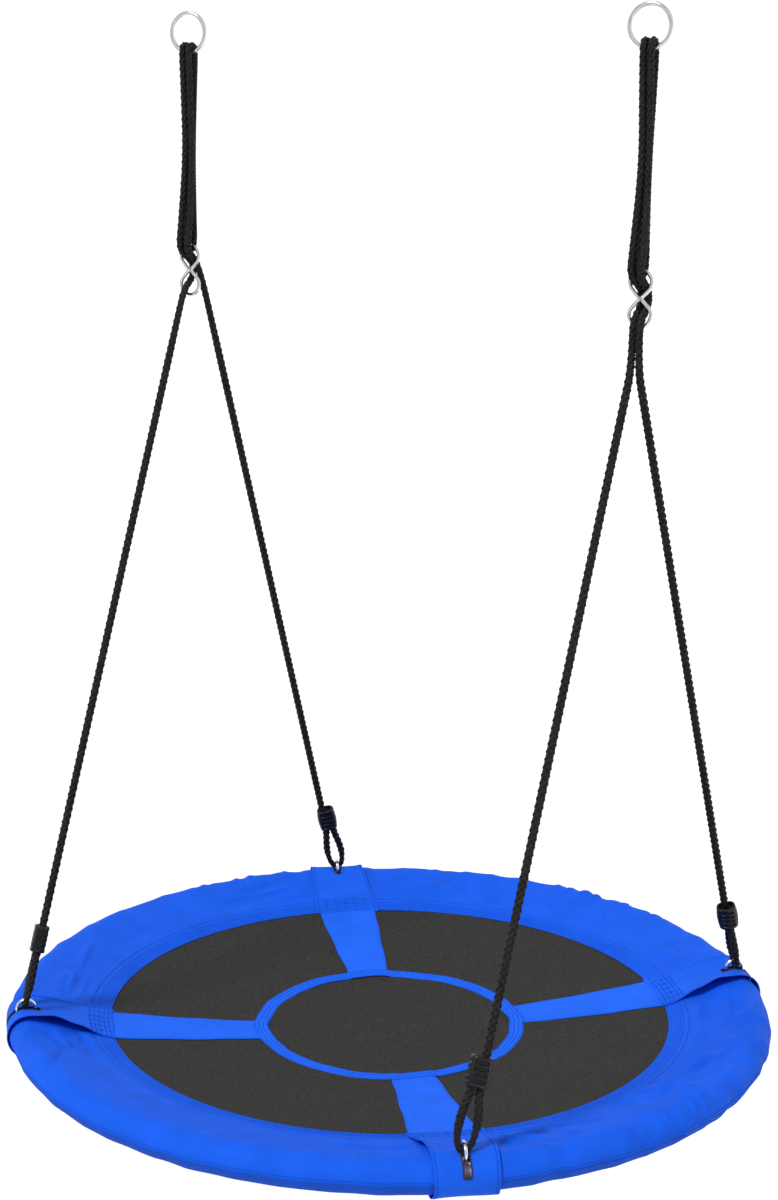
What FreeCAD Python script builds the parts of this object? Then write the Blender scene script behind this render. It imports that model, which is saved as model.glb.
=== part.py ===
import FreeCAD, Part

import math
import os

import Sketcher

from FreeCAD import Placement, Rotation, Vector

# Saucer nest swing, in millimetres. +Z is up, +X runs from the left hanging ring to the right
# one, and -Y is the front. The origin is the centre of the seat's lowest plane.

DIMENSIONS = [
    # seat frame
    ("seat_diameter", 1100, "outside of the covered rim"),
    ("rim_radius", 25.5, "outer radius of the cover round the tube"),
    ("rim_height", 31, "height of the tube's centre line"),
    ("tube_radius", 13, "outside of the steel tube"),
    ("tube_wall", 1.5, "wall of the tube and of its spigots"),
    ("spigot_radius", 11.4, "outside of the spigot that joins two tubes"),
    ("spigot_length", 90, "length of the spigot along the rim"),
    ("foam_radius", 24, "outside of the foam sleeve"),
    ("foam_gap", 30, "room between two foam sleeves at an eye"),
    # welded eyes
    ("eye_radius", 12.5, "centre line of the welded eye"),
    ("eye_wire_radius", 2.5, "wire of the eye"),
    ("eye_rise", 27.5, "centre of the eye above the tube's centre line"),
    ("eye_foot_radius", 3.6, "weld foot under the eye"),
    # fabrics
    ("fabric_thickness", 1.2, "cover, bands and wraps"),
    ("mat_thickness", 1.5, "woven mat"),
    ("mat_height", 26, "middle of the mat where it is sewn to the cover"),
    ("mat_sag", 23.6, "how far the middle of the mat hangs below its edge"),
    ("hem_inner_radius", 405, "inner edge of the cover, on the mat"),
    ("hem_outer_radius", 419, "edge of the mat, inside the cover"),
    ("ring_band_inner", 175, "inner edge of the round band"),
    ("ring_band_outer", 196.5, "outer edge of the round band"),
    ("cross_band_inner_width", 62, "straight band at the round band"),
    ("cross_band_outer_width", 92, "straight band at the hem"),
    ("wrap_inner_width", 102, "anchor wrap at the hem"),
    ("wrap_outer_width", 82, "anchor wrap outside the rim"),
    ("wrap_gap", 0.2, "room between the cover and a wrap"),
    ("slit_width", 15, "slit over the eye"),
    ("slit_inner_radius", 503, "inner end of the slit"),
    ("slit_foot", 35, "height of the slit's outer end"),
    ("binding_width", 2.5, "tape round the slit"),
    ("binding_thickness", 0.6, "tape round the slit"),
    # ropes
    ("rope_radius", 4.75, "laid rope"),
    ("strand_gap", 0.2, "room between two strands side by side"),
    ("strand_bend", 33, "bend of a strand where it leaves its straight run"),
    ("loop_radius", 9.5, "rope's centre line round the eye's wire"),
    ("loop_flare", 8, "lean of the loop's strands at the eye, in degrees"),
    ("loop_shoulder", 24, "height of the loop's widest place above the eye's wire"),
    ("ferrule_foot", 69, "lower end of the ferrule above the eye's wire"),
    ("ferrule_length", 38, "moulded ferrule"),
    ("ferrule_radius", 12.6, "outside of the ferrule's ribs"),
    ("ferrule_groove", 1.6, "depth of the grooves between the ribs"),
    ("ferrule_rounding", 4.5, "rounding of both ends"),
    ("ferrule_first_groove", 9.9, "first groove above the ferrule's foot"),
    ("ferrule_groove_run", 18.2, "from the first groove to the last"),
    ("tail_length", 27, "rope's cut end inside the ferrule"),
    # hanging rings and adjuster links
    ("hang_ring_radius", 27, "centre line of the hanging ring"),
    ("hang_wire_radius", 3, "wire of the hanging ring"),
    ("hang_height", 1386, "lowest point of the ring's centre line"),
    ("bight_radius", 8.6, "rope's centre line over the ring's wire"),
    ("bight_offset", 5.4, "each bight's distance from the ring's middle"),
    ("link_height", 1079, "crossing of the figure-of-eight link"),
    ("link_lobe_radius", 14.5, "centre line of each lobe"),
    ("link_lobe_rise", 21, "centre of each lobe from the crossing"),
    ("link_wire_radius", 2.5, "wire of the link"),
    ("weave_bend", 12, "rope's bend as it enters the link's upper lobe"),
    ("weave_reach", 12.6, "rope's centre line behind the link's crossing"),
    ("weave_front", 8.0, "rope's centre line in front of the link's lower wire"),
    ("turn_radius", 7.4, "rope's centre line as it turns back over the link"),
    ("fork_drop", 88, "where the right-hand legs part, below the crossing"),
    ("pivot_drop", 46, "legs' pivot below the crossing"),
    ("pivot_gap", 1.3, "room each side of the legs' pivot"),
]

doc = FreeCAD.newDocument("saucer_nest_swing")
sheet = doc.addObject("Spreadsheet::Sheet", "Dimensions")
for row, (alias, value, note) in enumerate(DIMENSIONS, start=1):
    sheet.set(f"A{row}", alias)
    sheet.set(f"B{row}", str(value))
    sheet.setAlias(f"B{row}", alias)
    sheet.set(f"C{row}", note)
doc.recompute()


def dim(alias):
    """A driving dimension, read from the sheet."""
    return float(sheet.get(alias))


X_AXIS = Vector(1, 0, 0)
Y_AXIS = Vector(0, 1, 0)
Z_AXIS = Vector(0, 0, 1)
EYE_ANGLES = {"front_right": -45, "back_right": 45, "back_left": 135, "front_left": 225}
TUBE_ANGLES = {"right_back": 0, "back_left": 90, "left_front": 180, "front_right": 270}

rim_centre_radius = dim("seat_diameter") / 2 - dim("rim_radius")
hanger_x = rim_centre_radius * math.cos(math.radians(45))
eye_wire_height = dim("rim_height") + dim("eye_rise") + dim("eye_radius")
parts = []


def keep(obj, label):
    """Name a finished sub-part and list it for export."""
    obj.Label = label
    parts.append(obj)
    return obj


def bind(obj, expressions):
    """Bind an object's properties to the sheet."""
    for name, expression in expressions.items():
        obj.setExpression(name, expression)


def solid_feature(label, shape, placement=None):
    """A sub-part whose shape is built by this script from the sheet's sizes."""
    obj = doc.addObject("Part::Feature", label)
    obj.Shape = shape
    if placement is not None:
        obj.Placement = placement
    return keep(obj, label)


def turned(angle):
    """A turn about the swing's vertical axis."""
    return Placement(Vector(0, 0, 0), Rotation(Z_AXIS, angle))


# ---------------------------------------------------------------- steel frame

RIM_RADIUS_EXPRESSION = "Dimensions.seat_diameter / 2 - Dimensions.rim_radius"


def rim_torus(name, radius_expression, sweep_expression, start_angle):
    """A length of round bar bent to the rim's circle."""
    torus = doc.addObject("Part::Torus", name)
    torus.Angle1 = -180
    torus.Angle2 = 180
    bind(torus, {
        "Radius1": RIM_RADIUS_EXPRESSION,
        "Radius2": radius_expression,
        "Angle3": sweep_expression,
    })
    height = Vector(0, 0, dim("rim_height"))
    torus.Placement = Placement(height, Rotation(Z_AXIS, start_angle))
    return torus


def rim_pipe(label, outer_expression, inner_expression, sweep_expression, start_angle):
    """A hollow length of the rim: an outer bar less an inner one."""
    pipe = doc.addObject("Part::Cut", label)
    pipe.Base = rim_torus(label + "_outside", outer_expression, sweep_expression, start_angle)
    pipe.Tool = rim_torus(label + "_bore", inner_expression, sweep_expression, start_angle)
    return keep(pipe, label)


def arc_degrees(length):
    """The angle that a length takes along the rim's centre line."""
    return math.degrees(length / rim_centre_radius)


def arc_expression(alias):
    """The same angle, as an expression over the sheet."""
    return f"Dimensions.{alias} / ({RIM_RADIUS_EXPRESSION}) * 180 / pi"


for name, angle in TUBE_ANGLES.items():
    rim_pipe(
        "frame_tube_" + name,
        "Dimensions.tube_radius",
        "Dimensions.tube_radius - Dimensions.tube_wall",
        "90",
        angle,
    )

spigot_start = arc_degrees(dim("spigot_length")) / 2
for name, angle in {"right": 0, "back": 90, "left": 180, "front": 270}.items():
    rim_pipe(
        "tube_spigot_" + name,
        "Dimensions.spigot_radius",
        "Dimensions.spigot_radius - Dimensions.tube_wall",
        arc_expression("spigot_length"),
        angle - spigot_start,
    )

foam_start = arc_degrees(dim("foam_gap")) / 2
for name, angle in {"right": -45, "back": 45, "left": 135, "front": 225}.items():
    rim_pipe(
        "foam_sleeve_" + name,
        "Dimensions.foam_radius",
        "Dimensions.tube_radius",
        "90 - " + arc_expression("foam_gap"),
        angle + foam_start,
    )


SADDLE_SWEEP = 20


def frame_eye(name, angle):
    """A ring of wire standing on the tube, with a weld foot, cut to the tube's surface."""
    label = "frame_eye_" + name
    ring = doc.addObject("Part::Torus", label + "_ring")
    bind(ring, {
        "Radius1": "Dimensions.eye_radius",
        "Radius2": "Dimensions.eye_wire_radius",
    })
    foot = doc.addObject("Part::Cylinder", label + "_foot")
    bind(foot, {
        "Radius": "Dimensions.eye_foot_radius",
        "Height": "Dimensions.tube_radius + 2 * Dimensions.eye_wire_radius",
    })
    turn = Rotation(Z_AXIS, angle)
    tube_centre = turn.multVec(Vector(rim_centre_radius, 0, 0)) + Vector(0, 0, dim("rim_height"))
    standing = turn.multiply(Rotation(X_AXIS, 90))
    ring.Placement = Placement(tube_centre + Vector(0, 0, dim("eye_rise")), standing)
    foot.Placement = Placement(tube_centre, turn)
    welded = doc.addObject("Part::Fuse", label + "_welded")
    welded.Base = ring
    welded.Tool = foot
    eye = doc.addObject("Part::Cut", label)
    eye.Base = welded
    eye.Tool = rim_torus(
        label + "_saddle", "Dimensions.tube_radius", str(SADDLE_SWEEP), angle - SADDLE_SWEEP / 2)
    return keep(eye, label)


for name, angle in EYE_ANGLES.items():
    frame_eye(name, angle)


# ---------------------------------------------------------------- seat fabrics

# The mat is a shallow spherical dish with a conical hem. Every layer on it is concentric.
hem_inner = dim("hem_inner_radius")
hem_outer = dim("hem_outer_radius")
dish_radius = (hem_inner ** 2 + dim("mat_sag") ** 2) / (2 * dim("mat_sag"))
hem_slope = math.asin(hem_inner / dish_radius)
hem_inner_height = dim("mat_height") - (hem_outer - hem_inner) * math.tan(hem_slope)
dish_centre = Vector(0, 0, hem_inner_height - dim("mat_sag") + dish_radius)


def dish_point(radius, above):
    """A point of the dish's profile, a distance above the middle of the mat."""
    sphere = dish_radius - above
    return Vector(radius, 0, dish_centre.z - math.sqrt(sphere ** 2 - radius ** 2))


def dish_arc(inner, outer, above):
    """The dish's profile between two radii."""
    middle = dish_point((inner + outer) / 2, above)
    return Part.Arc(dish_point(inner, above), middle, dish_point(outer, above)).toShape()


def edge_between(start, end):
    """A straight edge."""
    return Part.LineSegment(start, end).toShape()


def revolved(edges):
    """A closed profile in the XZ plane turned about the swing's axis."""
    face = Part.Face(Part.Wire(edges))
    return face.revolve(Vector(0, 0, 0), Z_AXIS, 360)


def mat_layer(inner, outer, lower, upper):
    """A ring of fabric that lies on the dish."""
    low_arc = dish_arc(inner, outer, lower)
    high_arc = dish_arc(inner, outer, upper)
    return revolved([
        low_arc,
        edge_between(dish_point(outer, lower), dish_point(outer, upper)),
        high_arc,
        edge_between(dish_point(inner, upper), dish_point(inner, lower)),
    ])


def hem_point(radius, above):
    """A point of the conical hem, a distance above the middle of the mat."""
    height = dim("mat_height") - (hem_outer - radius) * math.tan(hem_slope)
    return Vector(radius, 0, height + above / math.cos(hem_slope))


def seat_mat():
    """The woven mat: a dish, and the hem that the cover's two layers hold."""
    half = dim("mat_thickness") / 2
    top_corner = hem_point(hem_outer, half)
    low_corner = hem_point(hem_outer, -half)
    return revolved([
        dish_arc(0, hem_inner, -half),
        edge_between(dish_point(hem_inner, -half), low_corner),
        edge_between(low_corner, top_corner),
        edge_between(top_corner, dish_point(hem_inner, half)),
        dish_arc(0, hem_inner, half),
        edge_between(dish_point(0, half), dish_point(0, -half)),
    ])


def tangent_point(start, radius, side):
    """Where a line from start touches the rim's round section, on its upper or lower side."""
    centre = Vector(rim_centre_radius, 0, dim("rim_height"))
    reach = centre - start
    spread = math.asin(radius / reach.Length)
    bearing = math.atan2(reach.z, reach.x) + side * spread
    run = math.sqrt(reach.Length ** 2 - radius ** 2)
    return start + Vector(math.cos(bearing), 0, math.sin(bearing)) * run


def rim_skin(inner_half, outer_half, inner_radius, outer_radius):
    """A layer of fabric that goes round the rim from the hem's top to its underside."""
    outside = Vector(rim_centre_radius, 0, dim("rim_height"))
    edges = []
    corners = {}
    for half, radius in ((inner_half, inner_radius), (outer_half, outer_radius)):
        top = tangent_point(hem_point(hem_outer, half), radius, 1)
        low = tangent_point(hem_point(hem_outer, -half), radius, -1)
        edges.append(Part.Arc(top, outside + X_AXIS * radius, low).toShape())
        for sign, touch in ((1, top), (-1, low)):
            edges.append(edge_between(hem_point(hem_outer, sign * half), touch))
            corners[(half, sign)] = hem_point(hem_inner, sign * half)
            edges.append(edge_between(corners[(half, sign)], hem_point(hem_outer, sign * half)))
    for sign in (1, -1):
        edges.append(edge_between(corners[(inner_half, sign)], corners[(outer_half, sign)]))
    return revolved(Part.__sortEdges__(edges))


# Cutters reach past the seat by this much on every side.
CUTTER_MARGIN = 20


def taper_prism(inner, inner_width, outer, outer_width):
    """A tall prism along +X that widens or narrows from one radius to another."""
    low = -CUTTER_MARGIN
    corners = [
        Vector(inner, -inner_width / 2, low),
        Vector(outer, -outer_width / 2, low),
        Vector(outer, outer_width / 2, low),
        Vector(inner, inner_width / 2, low),
    ]
    height = 2 * (dim("rim_height") + CUTTER_MARGIN)
    return Part.Face(Part.makePolygon(corners + corners[:1])).extrude(Vector(0, 0, height))


def slit_box(extra):
    """The slit over an eye at +X, with a margin round it."""
    width = dim("slit_width") + 2 * extra
    corner = Vector(dim("slit_inner_radius") - extra, -width / 2, dim("slit_foot") - extra)
    length = dim("seat_diameter") / 2 - corner.x + CUTTER_MARGIN
    return Part.makeBox(length, width, dim("rim_radius") + CUTTER_MARGIN, corner)


def largest_solid(shape):
    """The one solid of a boolean's result."""
    return max(shape.Solids, key=lambda solid: solid.Volume)


mat_half = dim("mat_thickness") / 2
fabric = dim("fabric_thickness")
cover_half = mat_half + fabric
wrap_half = cover_half + dim("wrap_gap")
wrap_inner_radius = dim("rim_radius") + dim("wrap_gap")
wrap_outer_radius = wrap_inner_radius + fabric

cover = rim_skin(mat_half, cover_half, dim("rim_radius") - fabric, dim("rim_radius"))
for angle in EYE_ANGLES.values():
    cutter = slit_box(0)
    cutter.Placement = turned(angle)
    cover = cover.cut(cutter)
solid_feature("rim_cover", largest_solid(cover))
solid_feature("seat_mat", seat_mat())
round_band = mat_layer(dim("ring_band_inner"), dim("ring_band_outer"), mat_half, cover_half)
solid_feature("round_band", round_band)

band_ring = mat_layer(dim("ring_band_outer"), hem_inner, mat_half, cover_half)
band_plan = taper_prism(
    dim("ring_band_outer") - CUTTER_MARGIN,
    dim("cross_band_inner_width"),
    hem_inner + CUTTER_MARGIN,
    dim("cross_band_outer_width"),
)
cross_band = largest_solid(band_ring.common(band_plan))

wrap_skin = rim_skin(wrap_half, wrap_half + fabric, wrap_inner_radius, wrap_outer_radius)
wrap_plan = taper_prism(
    hem_inner - CUTTER_MARGIN,
    dim("wrap_inner_width"),
    dim("seat_diameter") / 2 + CUTTER_MARGIN,
    dim("wrap_outer_width"),
)
anchor_wrap = largest_solid(wrap_skin.common(wrap_plan).cut(slit_box(0)))

tape_outer = wrap_outer_radius + dim("binding_thickness")
tape_half = wrap_half + fabric
tape_skin = rim_skin(tape_half, tape_half + dim("binding_thickness"), wrap_outer_radius, tape_outer)
tape_frame = slit_box(dim("binding_width")).cut(slit_box(0))
slit_binding = largest_solid(tape_skin.common(tape_frame))

for name, angle in EYE_ANGLES.items():
    solid_feature("cross_band_" + name, cross_band, turned(angle))
    solid_feature("anchor_wrap_" + name, anchor_wrap, turned(angle))
    solid_feature("slit_binding_" + name, slit_binding, turned(angle))


# ---------------------------------------------------------------- ropes

# An arc without a radius of its own takes this share of its shorter run.
RUN_SHARE = 0.45

# Round corners stop just short of each other, so that a short straight joins them.
ROUND_CORNER = 0.985


def rounded_route(name, points, radii):
    """Straight runs joined by tangent arcs. A missing radius is as large as its runs allow."""
    edges = []
    cursor = points[0]
    shown = []
    for index in range(1, len(points) - 1):
        before = (points[index - 1] - points[index])
        after = (points[index + 1] - points[index])
        half_turn = (math.pi - before.getAngle(after)) / 2
        radius = radii.get(index)
        if radius is None:
            radius = RUN_SHARE * min(before.Length, after.Length) / math.tan(half_turn)
        trim = radius * math.tan(half_turn)
        before.normalize()
        after.normalize()
        start = points[index] + before * trim
        end = points[index] + after * trim
        bisector = before + after
        bisector.normalize()
        middle = points[index] + bisector * (radius / math.cos(half_turn) - radius)
        if (start - cursor).Length > 1e-4:
            edges.append(edge_between(cursor, start))
        edges.append(Part.Arc(start, middle, end).toShape())
        cursor = end
        shown.append(round(radius, 1))
    edges.append(edge_between(cursor, points[-1]))
    print(name, "length", round(sum(edge.Length for edge in edges), 1), "arc radii", shown)
    return Part.Wire(edges)


def tube_along(path, radius):
    """A round solid along a route, with its volume compared with section times length."""
    start = path.Edges[0].valueAt(path.Edges[0].FirstParameter)
    tangent = path.Edges[0].tangentAt(path.Edges[0].FirstParameter)
    section = Part.Wire(Part.Circle(start, tangent, radius).toShape())
    solid = path.makePipeShell([section], True, False)
    expected = math.pi * radius ** 2 * path.Length
    if abs(solid.Volume / expected - 1) > 0.01:
        raise ValueError(f"tube volume {solid.Volume:.0f}, expected {expected:.0f}")
    return solid


def rope(label, points, radii, placement=None):
    """A rope as a node of its own."""
    path = rounded_route(label, points, radii)
    solid_feature(label, tube_along(path, dim("rope_radius")), placement)


# Points of the slings, from the middle of each hanger, heights from the link's crossing.
strand_offset = dim("rope_radius") + dim("strand_gap") / 2
pivot_height = dim("link_height") - dim("pivot_drop")
top = dim("hang_height") + 0.5 - dim("link_height")
bight = dim("bight_radius")
corner = bight * math.tan(math.radians(22.5))
offset = dim("bight_offset")
behind = dim("weave_reach")
before_wire = -dim("weave_front")
front_weave = [
    Vector(-4.9, behind, -11),
    Vector(-4.9, behind, 12),
    Vector(-8, -14.6, 28),
]
left_bight = [
    Vector(-offset, -bight, top + corner),
    Vector(-offset, -corner, top + bight),
    Vector(-offset, corner, top + bight),
    Vector(-offset, bight, top + corner),
]
link_bight = [
    Vector(-1.5, before_wire, 27.6),
    Vector(1.5, -before_wire, 27.6),
]
right_bight = [
    Vector(offset, bight, top + corner),
    Vector(offset, corner, top + bight),
    Vector(offset, -corner, top + bight),
    Vector(offset, -bight, top + corner),
]
back_weave = [
    Vector(5.4, -14.6, 28),
    Vector(4.9, behind, 12),
]
hanger = {
    "left": Vector(-hanger_x, 0, dim("link_height")),
    "right": Vector(hanger_x, 0, dim("link_height")),
}

# Where each leg's straight run starts, below or behind the link.
LEG_HEADS = {
    "front_left": Vector(-4.9, before_wire, -27),
    "back_left": Vector(4.9, behind, 12),
    "front_right": Vector(-4.9, before_wire, -dim("fork_drop")),
    "back_right": Vector(4.9, before_wire, -dim("fork_drop")),
}


def leg_frame(name):
    """The leg's anchor on the eye's wire, its direction, and the loop's sideways direction."""
    side = name.split("_")[1]
    angle = math.radians(EYE_ANGLES[name])
    anchor = Vector(
        rim_centre_radius * math.cos(angle), rim_centre_radius * math.sin(angle), eye_wire_height)
    head = hanger[side] + LEG_HEADS[name]
    along_rim = Vector(-math.sin(angle), math.cos(angle), 0)
    up = head - anchor
    up.normalize()
    for _ in range(6):
        across = along_rim - up * along_rim.dot(up)
        across.normalize()
        up = head - anchor - across * strand_offset
        up.normalize()
    return anchor, up, across, head


def down_to(start, toward, height):
    """The point at a height on the line from start toward another point."""
    share = (start.z - height) / (start.z - toward.z)
    return start + (toward - start) * share


flare = math.radians(dim("loop_flare"))
loop = dim("loop_radius")
loop_corner = loop * math.tan((math.pi / 2 - flare) / 2)
shoulder = loop_corner + (dim("loop_shoulder") + loop) * math.tan(flare)
foot = dim("ferrule_foot") - 3
tail_end = dim("ferrule_foot") + dim("tail_length")


def leg_rope(name):
    """A leg: straight down from the link, through its ferrule, round the eye and back."""
    anchor, up, across, head = leg_frame(name)
    standing = anchor + across * strand_offset
    if name.endswith("right"):
        upper = [head + Z_AXIS * (pivot_height - dim("pivot_gap") - head.z), head]
    else:
        upper = [down_to(head, standing, pivot_height - dim("pivot_gap"))]
    half_loop = [
        (strand_offset, foot),
        (shoulder, dim("loop_shoulder")),
        (loop_corner, -loop),
    ]
    other_half = [(-sideways, along) for sideways, along in reversed(half_loop)]
    lower = half_loop + other_half + [(-strand_offset, tail_end)]
    points = upper + [anchor + across * sideways + up * along for sideways, along in lower]
    first = len(upper)
    radii = {
        first: dim("strand_bend"),
        first + 2: loop * ROUND_CORNER,
        first + 3: loop * ROUND_CORNER,
        first + 5: dim("strand_bend"),
    }
    rope("leg_rope_" + name, points, radii)


def sling_ends(side):
    """Both ends of a sling, from the leg's pivot up to the link's weave."""
    base = hanger[side]
    height = pivot_height + dim("pivot_gap")
    if side == "right":
        end = height - base.z
        front = [Vector(-4.9, before_wire, end), Vector(-4.9, before_wire, -27)]
        back = [
            Vector(4.9, behind, -11),
            Vector(4.9, before_wire, -27),
            Vector(4.9, before_wire, end),
        ]
        return [base + point for point in front], [base + point for point in back]
    ends = []
    for name in ("front_left", "back_left"):
        anchor, up, across, head = leg_frame(name)
        ends.append((down_to(head, anchor + across * strand_offset, height), head))
    return [ends[0][0], ends[0][1]], [ends[1][0]]


def sling_rope(side):
    """The four strands between the link and the ring, as one rope with its three bights."""
    front, back = sling_ends(side)
    middle = front_weave + left_bight + link_bight + right_bight + back_weave
    points = front + [hanger[side] + point for point in middle] + back
    first = len(front) + len(front_weave)
    last_bight = first + 6
    radii = {
        first - 1: dim("weave_bend"),
        first + 4: dim("turn_radius"),
        first + 5: dim("turn_radius"),
        last_bight + 4: dim("weave_bend"),
    }
    for index in range(4):
        radii[first + index] = bight * ROUND_CORNER
        radii[last_bight + index] = bight * ROUND_CORNER
    rope("sling_rope_" + side, points, radii)


def ferrule_sketch(body, name, plane_role):
    """An empty sketch on one of a body's own origin planes."""
    plane = next(item for item in body.Origin.OriginFeatures if item.Role == plane_role)
    sketch = body.newObject("Sketcher::SketchObject", name)
    sketch.AttachmentSupport = [(plane, "")]
    sketch.MapMode = "FlatFace"
    return sketch


def rope_ferrule(name):
    """A moulded barrel with ribs, threaded by both strands of the leg's loop."""
    label = "rope_ferrule_" + name
    body = doc.addObject("PartDesign::Body", label)

    # Half of the barrel's section, from its axis outwards.
    section = ferrule_sketch(body, label + "_section", "XZ_Plane")
    radius = dim("ferrule_radius")
    length = dim("ferrule_length")
    corners = [
        Vector(0, 0, 0),
        Vector(radius, 0, 0),
        Vector(radius, length, 0),
        Vector(0, length, 0),
    ]
    for index in range(4):
        section.addGeometry(Part.LineSegment(corners[index], corners[(index + 1) % 4]), False)
    for index in range(4):
        section.addConstraint(Sketcher.Constraint("Coincident", index, 2, (index + 1) % 4, 1))
    section.addConstraint(Sketcher.Constraint("Coincident", 0, 1, -1, 1))
    section.addConstraint(Sketcher.Constraint("Horizontal", 0))
    section.addConstraint(Sketcher.Constraint("Vertical", 1))
    section.addConstraint(Sketcher.Constraint("Horizontal", 2))
    section.addConstraint(Sketcher.Constraint("Vertical", 3))
    width_index = section.addConstraint(Sketcher.Constraint("DistanceX", 0, 1, 0, 2, radius))
    height_index = section.addConstraint(Sketcher.Constraint("DistanceY", 1, 1, 1, 2, length))
    section.setExpression(f"Constraints[{width_index}]", "Dimensions.ferrule_radius")
    section.setExpression(f"Constraints[{height_index}]", "Dimensions.ferrule_length")
    barrel = body.newObject("PartDesign::Revolution", label + "_barrel")
    barrel.Profile = section
    barrel.ReferenceAxis = (section, ["V_Axis"])
    barrel.Angle = 360
    doc.recompute()

    # Rounded shoulders at both ends.
    rims = [
        f"Edge{index}" for index, edge in enumerate(barrel.Shape.Edges, start=1)
        if edge.Curve.TypeId == "Part::GeomCircle" and abs(edge.Curve.Radius - radius) < 1e-6
    ]
    shoulders = body.newObject("PartDesign::Fillet", label + "_shoulders")
    shoulders.Base = (barrel, rims)
    bind(shoulders, {"Radius": "Dimensions.ferrule_rounding"})
    doc.recompute()

    # One round groove, repeated along the barrel.
    groove_section = ferrule_sketch(body, label + "_groove_section", "XZ_Plane")
    centre = Vector(radius, dim("ferrule_first_groove"), 0)
    groove_section.addGeometry(Part.Circle(centre, Z_AXIS, dim("ferrule_groove")), False)
    size_index = groove_section.addConstraint(
        Sketcher.Constraint("Radius", 0, dim("ferrule_groove")))
    out_index = groove_section.addConstraint(
        Sketcher.Constraint("DistanceX", -1, 1, 0, 3, centre.x))
    up_index = groove_section.addConstraint(
        Sketcher.Constraint("DistanceY", -1, 1, 0, 3, centre.y))
    groove_section.setExpression(f"Constraints[{size_index}]", "Dimensions.ferrule_groove")
    groove_section.setExpression(f"Constraints[{out_index}]", "Dimensions.ferrule_radius")
    groove_section.setExpression(f"Constraints[{up_index}]", "Dimensions.ferrule_first_groove")
    groove = body.newObject("PartDesign::Groove", label + "_groove")
    groove.Profile = groove_section
    groove.ReferenceAxis = (groove_section, ["V_Axis"])
    groove.Angle = 360
    doc.recompute()
    grooves = body.newObject("PartDesign::LinearPattern", label + "_grooves")
    grooves.Originals = [groove]
    grooves.Direction = (groove_section, ["V_Axis"])
    bind(grooves, {"Length": "Dimensions.ferrule_groove_run"})
    grooves.Occurrences = 4
    body.Tip = grooves
    doc.recompute()

    # The two holes that the strands lie in.
    holes = ferrule_sketch(body, label + "_holes", "XY_Plane")
    for index, sideways in enumerate((strand_offset, -strand_offset)):
        holes.addGeometry(Part.Circle(Vector(sideways, 0, 0), Z_AXIS, dim("rope_radius")), False)
        radius_index = holes.addConstraint(
            Sketcher.Constraint("Radius", index, dim("rope_radius")))
        holes.setExpression(f"Constraints[{radius_index}]", "Dimensions.rope_radius")
    solid_volume = grooves.Shape.Volume
    bores = body.newObject("PartDesign::Pocket", label + "_bores")
    bores.Profile = holes
    bores.Type = "ThroughAll"
    bores.Midplane = True
    doc.recompute()
    expected = 2 * math.pi * dim("rope_radius") ** 2 * length
    removed = solid_volume - bores.Shape.Volume
    if removed < 0.95 * expected:
        raise ValueError(f"{label}: bores remove {removed:.0f}, expected about {expected:.0f}")

    anchor, up, across, head = leg_frame(name)
    standing = Rotation(across, up.cross(across), up, "ZXY")
    body.Placement = Placement(anchor + up * dim("ferrule_foot"), standing)
    return keep(body, label)


for side in hanger:
    sling_rope(side)
for name in EYE_ANGLES:
    leg_rope(name)
    rope_ferrule(name)


# ---------------------------------------------------------------- rings and links

def hang_ring(side):
    """The welded ring that a hook or carabiner takes."""
    ring = doc.addObject("Part::Torus", "hang_ring_" + side)
    bind(ring, {
        "Radius1": "Dimensions.hang_ring_radius",
        "Radius2": "Dimensions.hang_wire_radius",
    })
    centre = Vector(hanger[side].x, 0, dim("hang_height") + dim("hang_ring_radius"))
    ring.Placement = Placement(centre, Rotation(X_AXIS, 90))
    return keep(ring, "hang_ring_" + side)


def link_half(base, sense):
    """Half of a link's wire: out from the crossing, round one lobe and back."""
    lobe = dim("link_lobe_radius")
    rise = dim("link_lobe_rise")
    lap = dim("link_wire_radius") + dim("strand_gap") / 2
    tangent = math.asin(lobe / rise)
    share = (math.pi + 2 * tangent) / 4
    reach = lobe / math.cos(share / 2)
    points = [Vector(0, sense * lap, 0)]
    for index in range(4):
        bearing = -tangent + share * (index + 0.5)
        lift = sense * lap * (1 - index * 2 / 3)
        points.append(Vector(reach * math.cos(bearing), lift, rise + reach * math.sin(bearing)))
    points.append(Vector(0, -sense * lap, 0))
    turn = Rotation(Y_AXIS, 0 if sense > 0 else 180)
    radii = {index: lobe * ROUND_CORNER for index in range(1, 5)}
    placed = [base + turn.multVec(point) for point in points]
    return tube_along(rounded_route("link wire", placed, radii), dim("link_wire_radius"))


for side, base in hanger.items():
    hang_ring(side)
    upper_half = link_half(base, 1)
    lower_half = link_half(base, -1)
    solid_feature("adjuster_link_" + side, upper_half.fuse(lower_half).removeSplitter())


# ---------------------------------------------------------------- check and export

doc.recompute()
for obj in doc.Objects:
    if "Invalid" in obj.State or "Error" in obj.State:
        raise RuntimeError(f"{obj.Label} is in state {obj.State}")
for obj in parts:
    if obj.Shape.isNull() or not obj.Shape.isValid():
        raise RuntimeError(f"{obj.Label} has no valid shape")
    if len(obj.Shape.Solids) != 1:
        raise RuntimeError(f"{obj.Label} has {len(obj.Shape.Solids)} solids")

os.makedirs("parts", exist_ok=True)
for obj in parts:
    obj.Shape.exportStep(f"parts/{obj.Label}.step")
print(len(parts), "sub-parts")
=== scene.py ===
import math

import bmesh
import bpy
import numpy as np
from mathutils import Matrix, Quaternion, Vector


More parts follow.
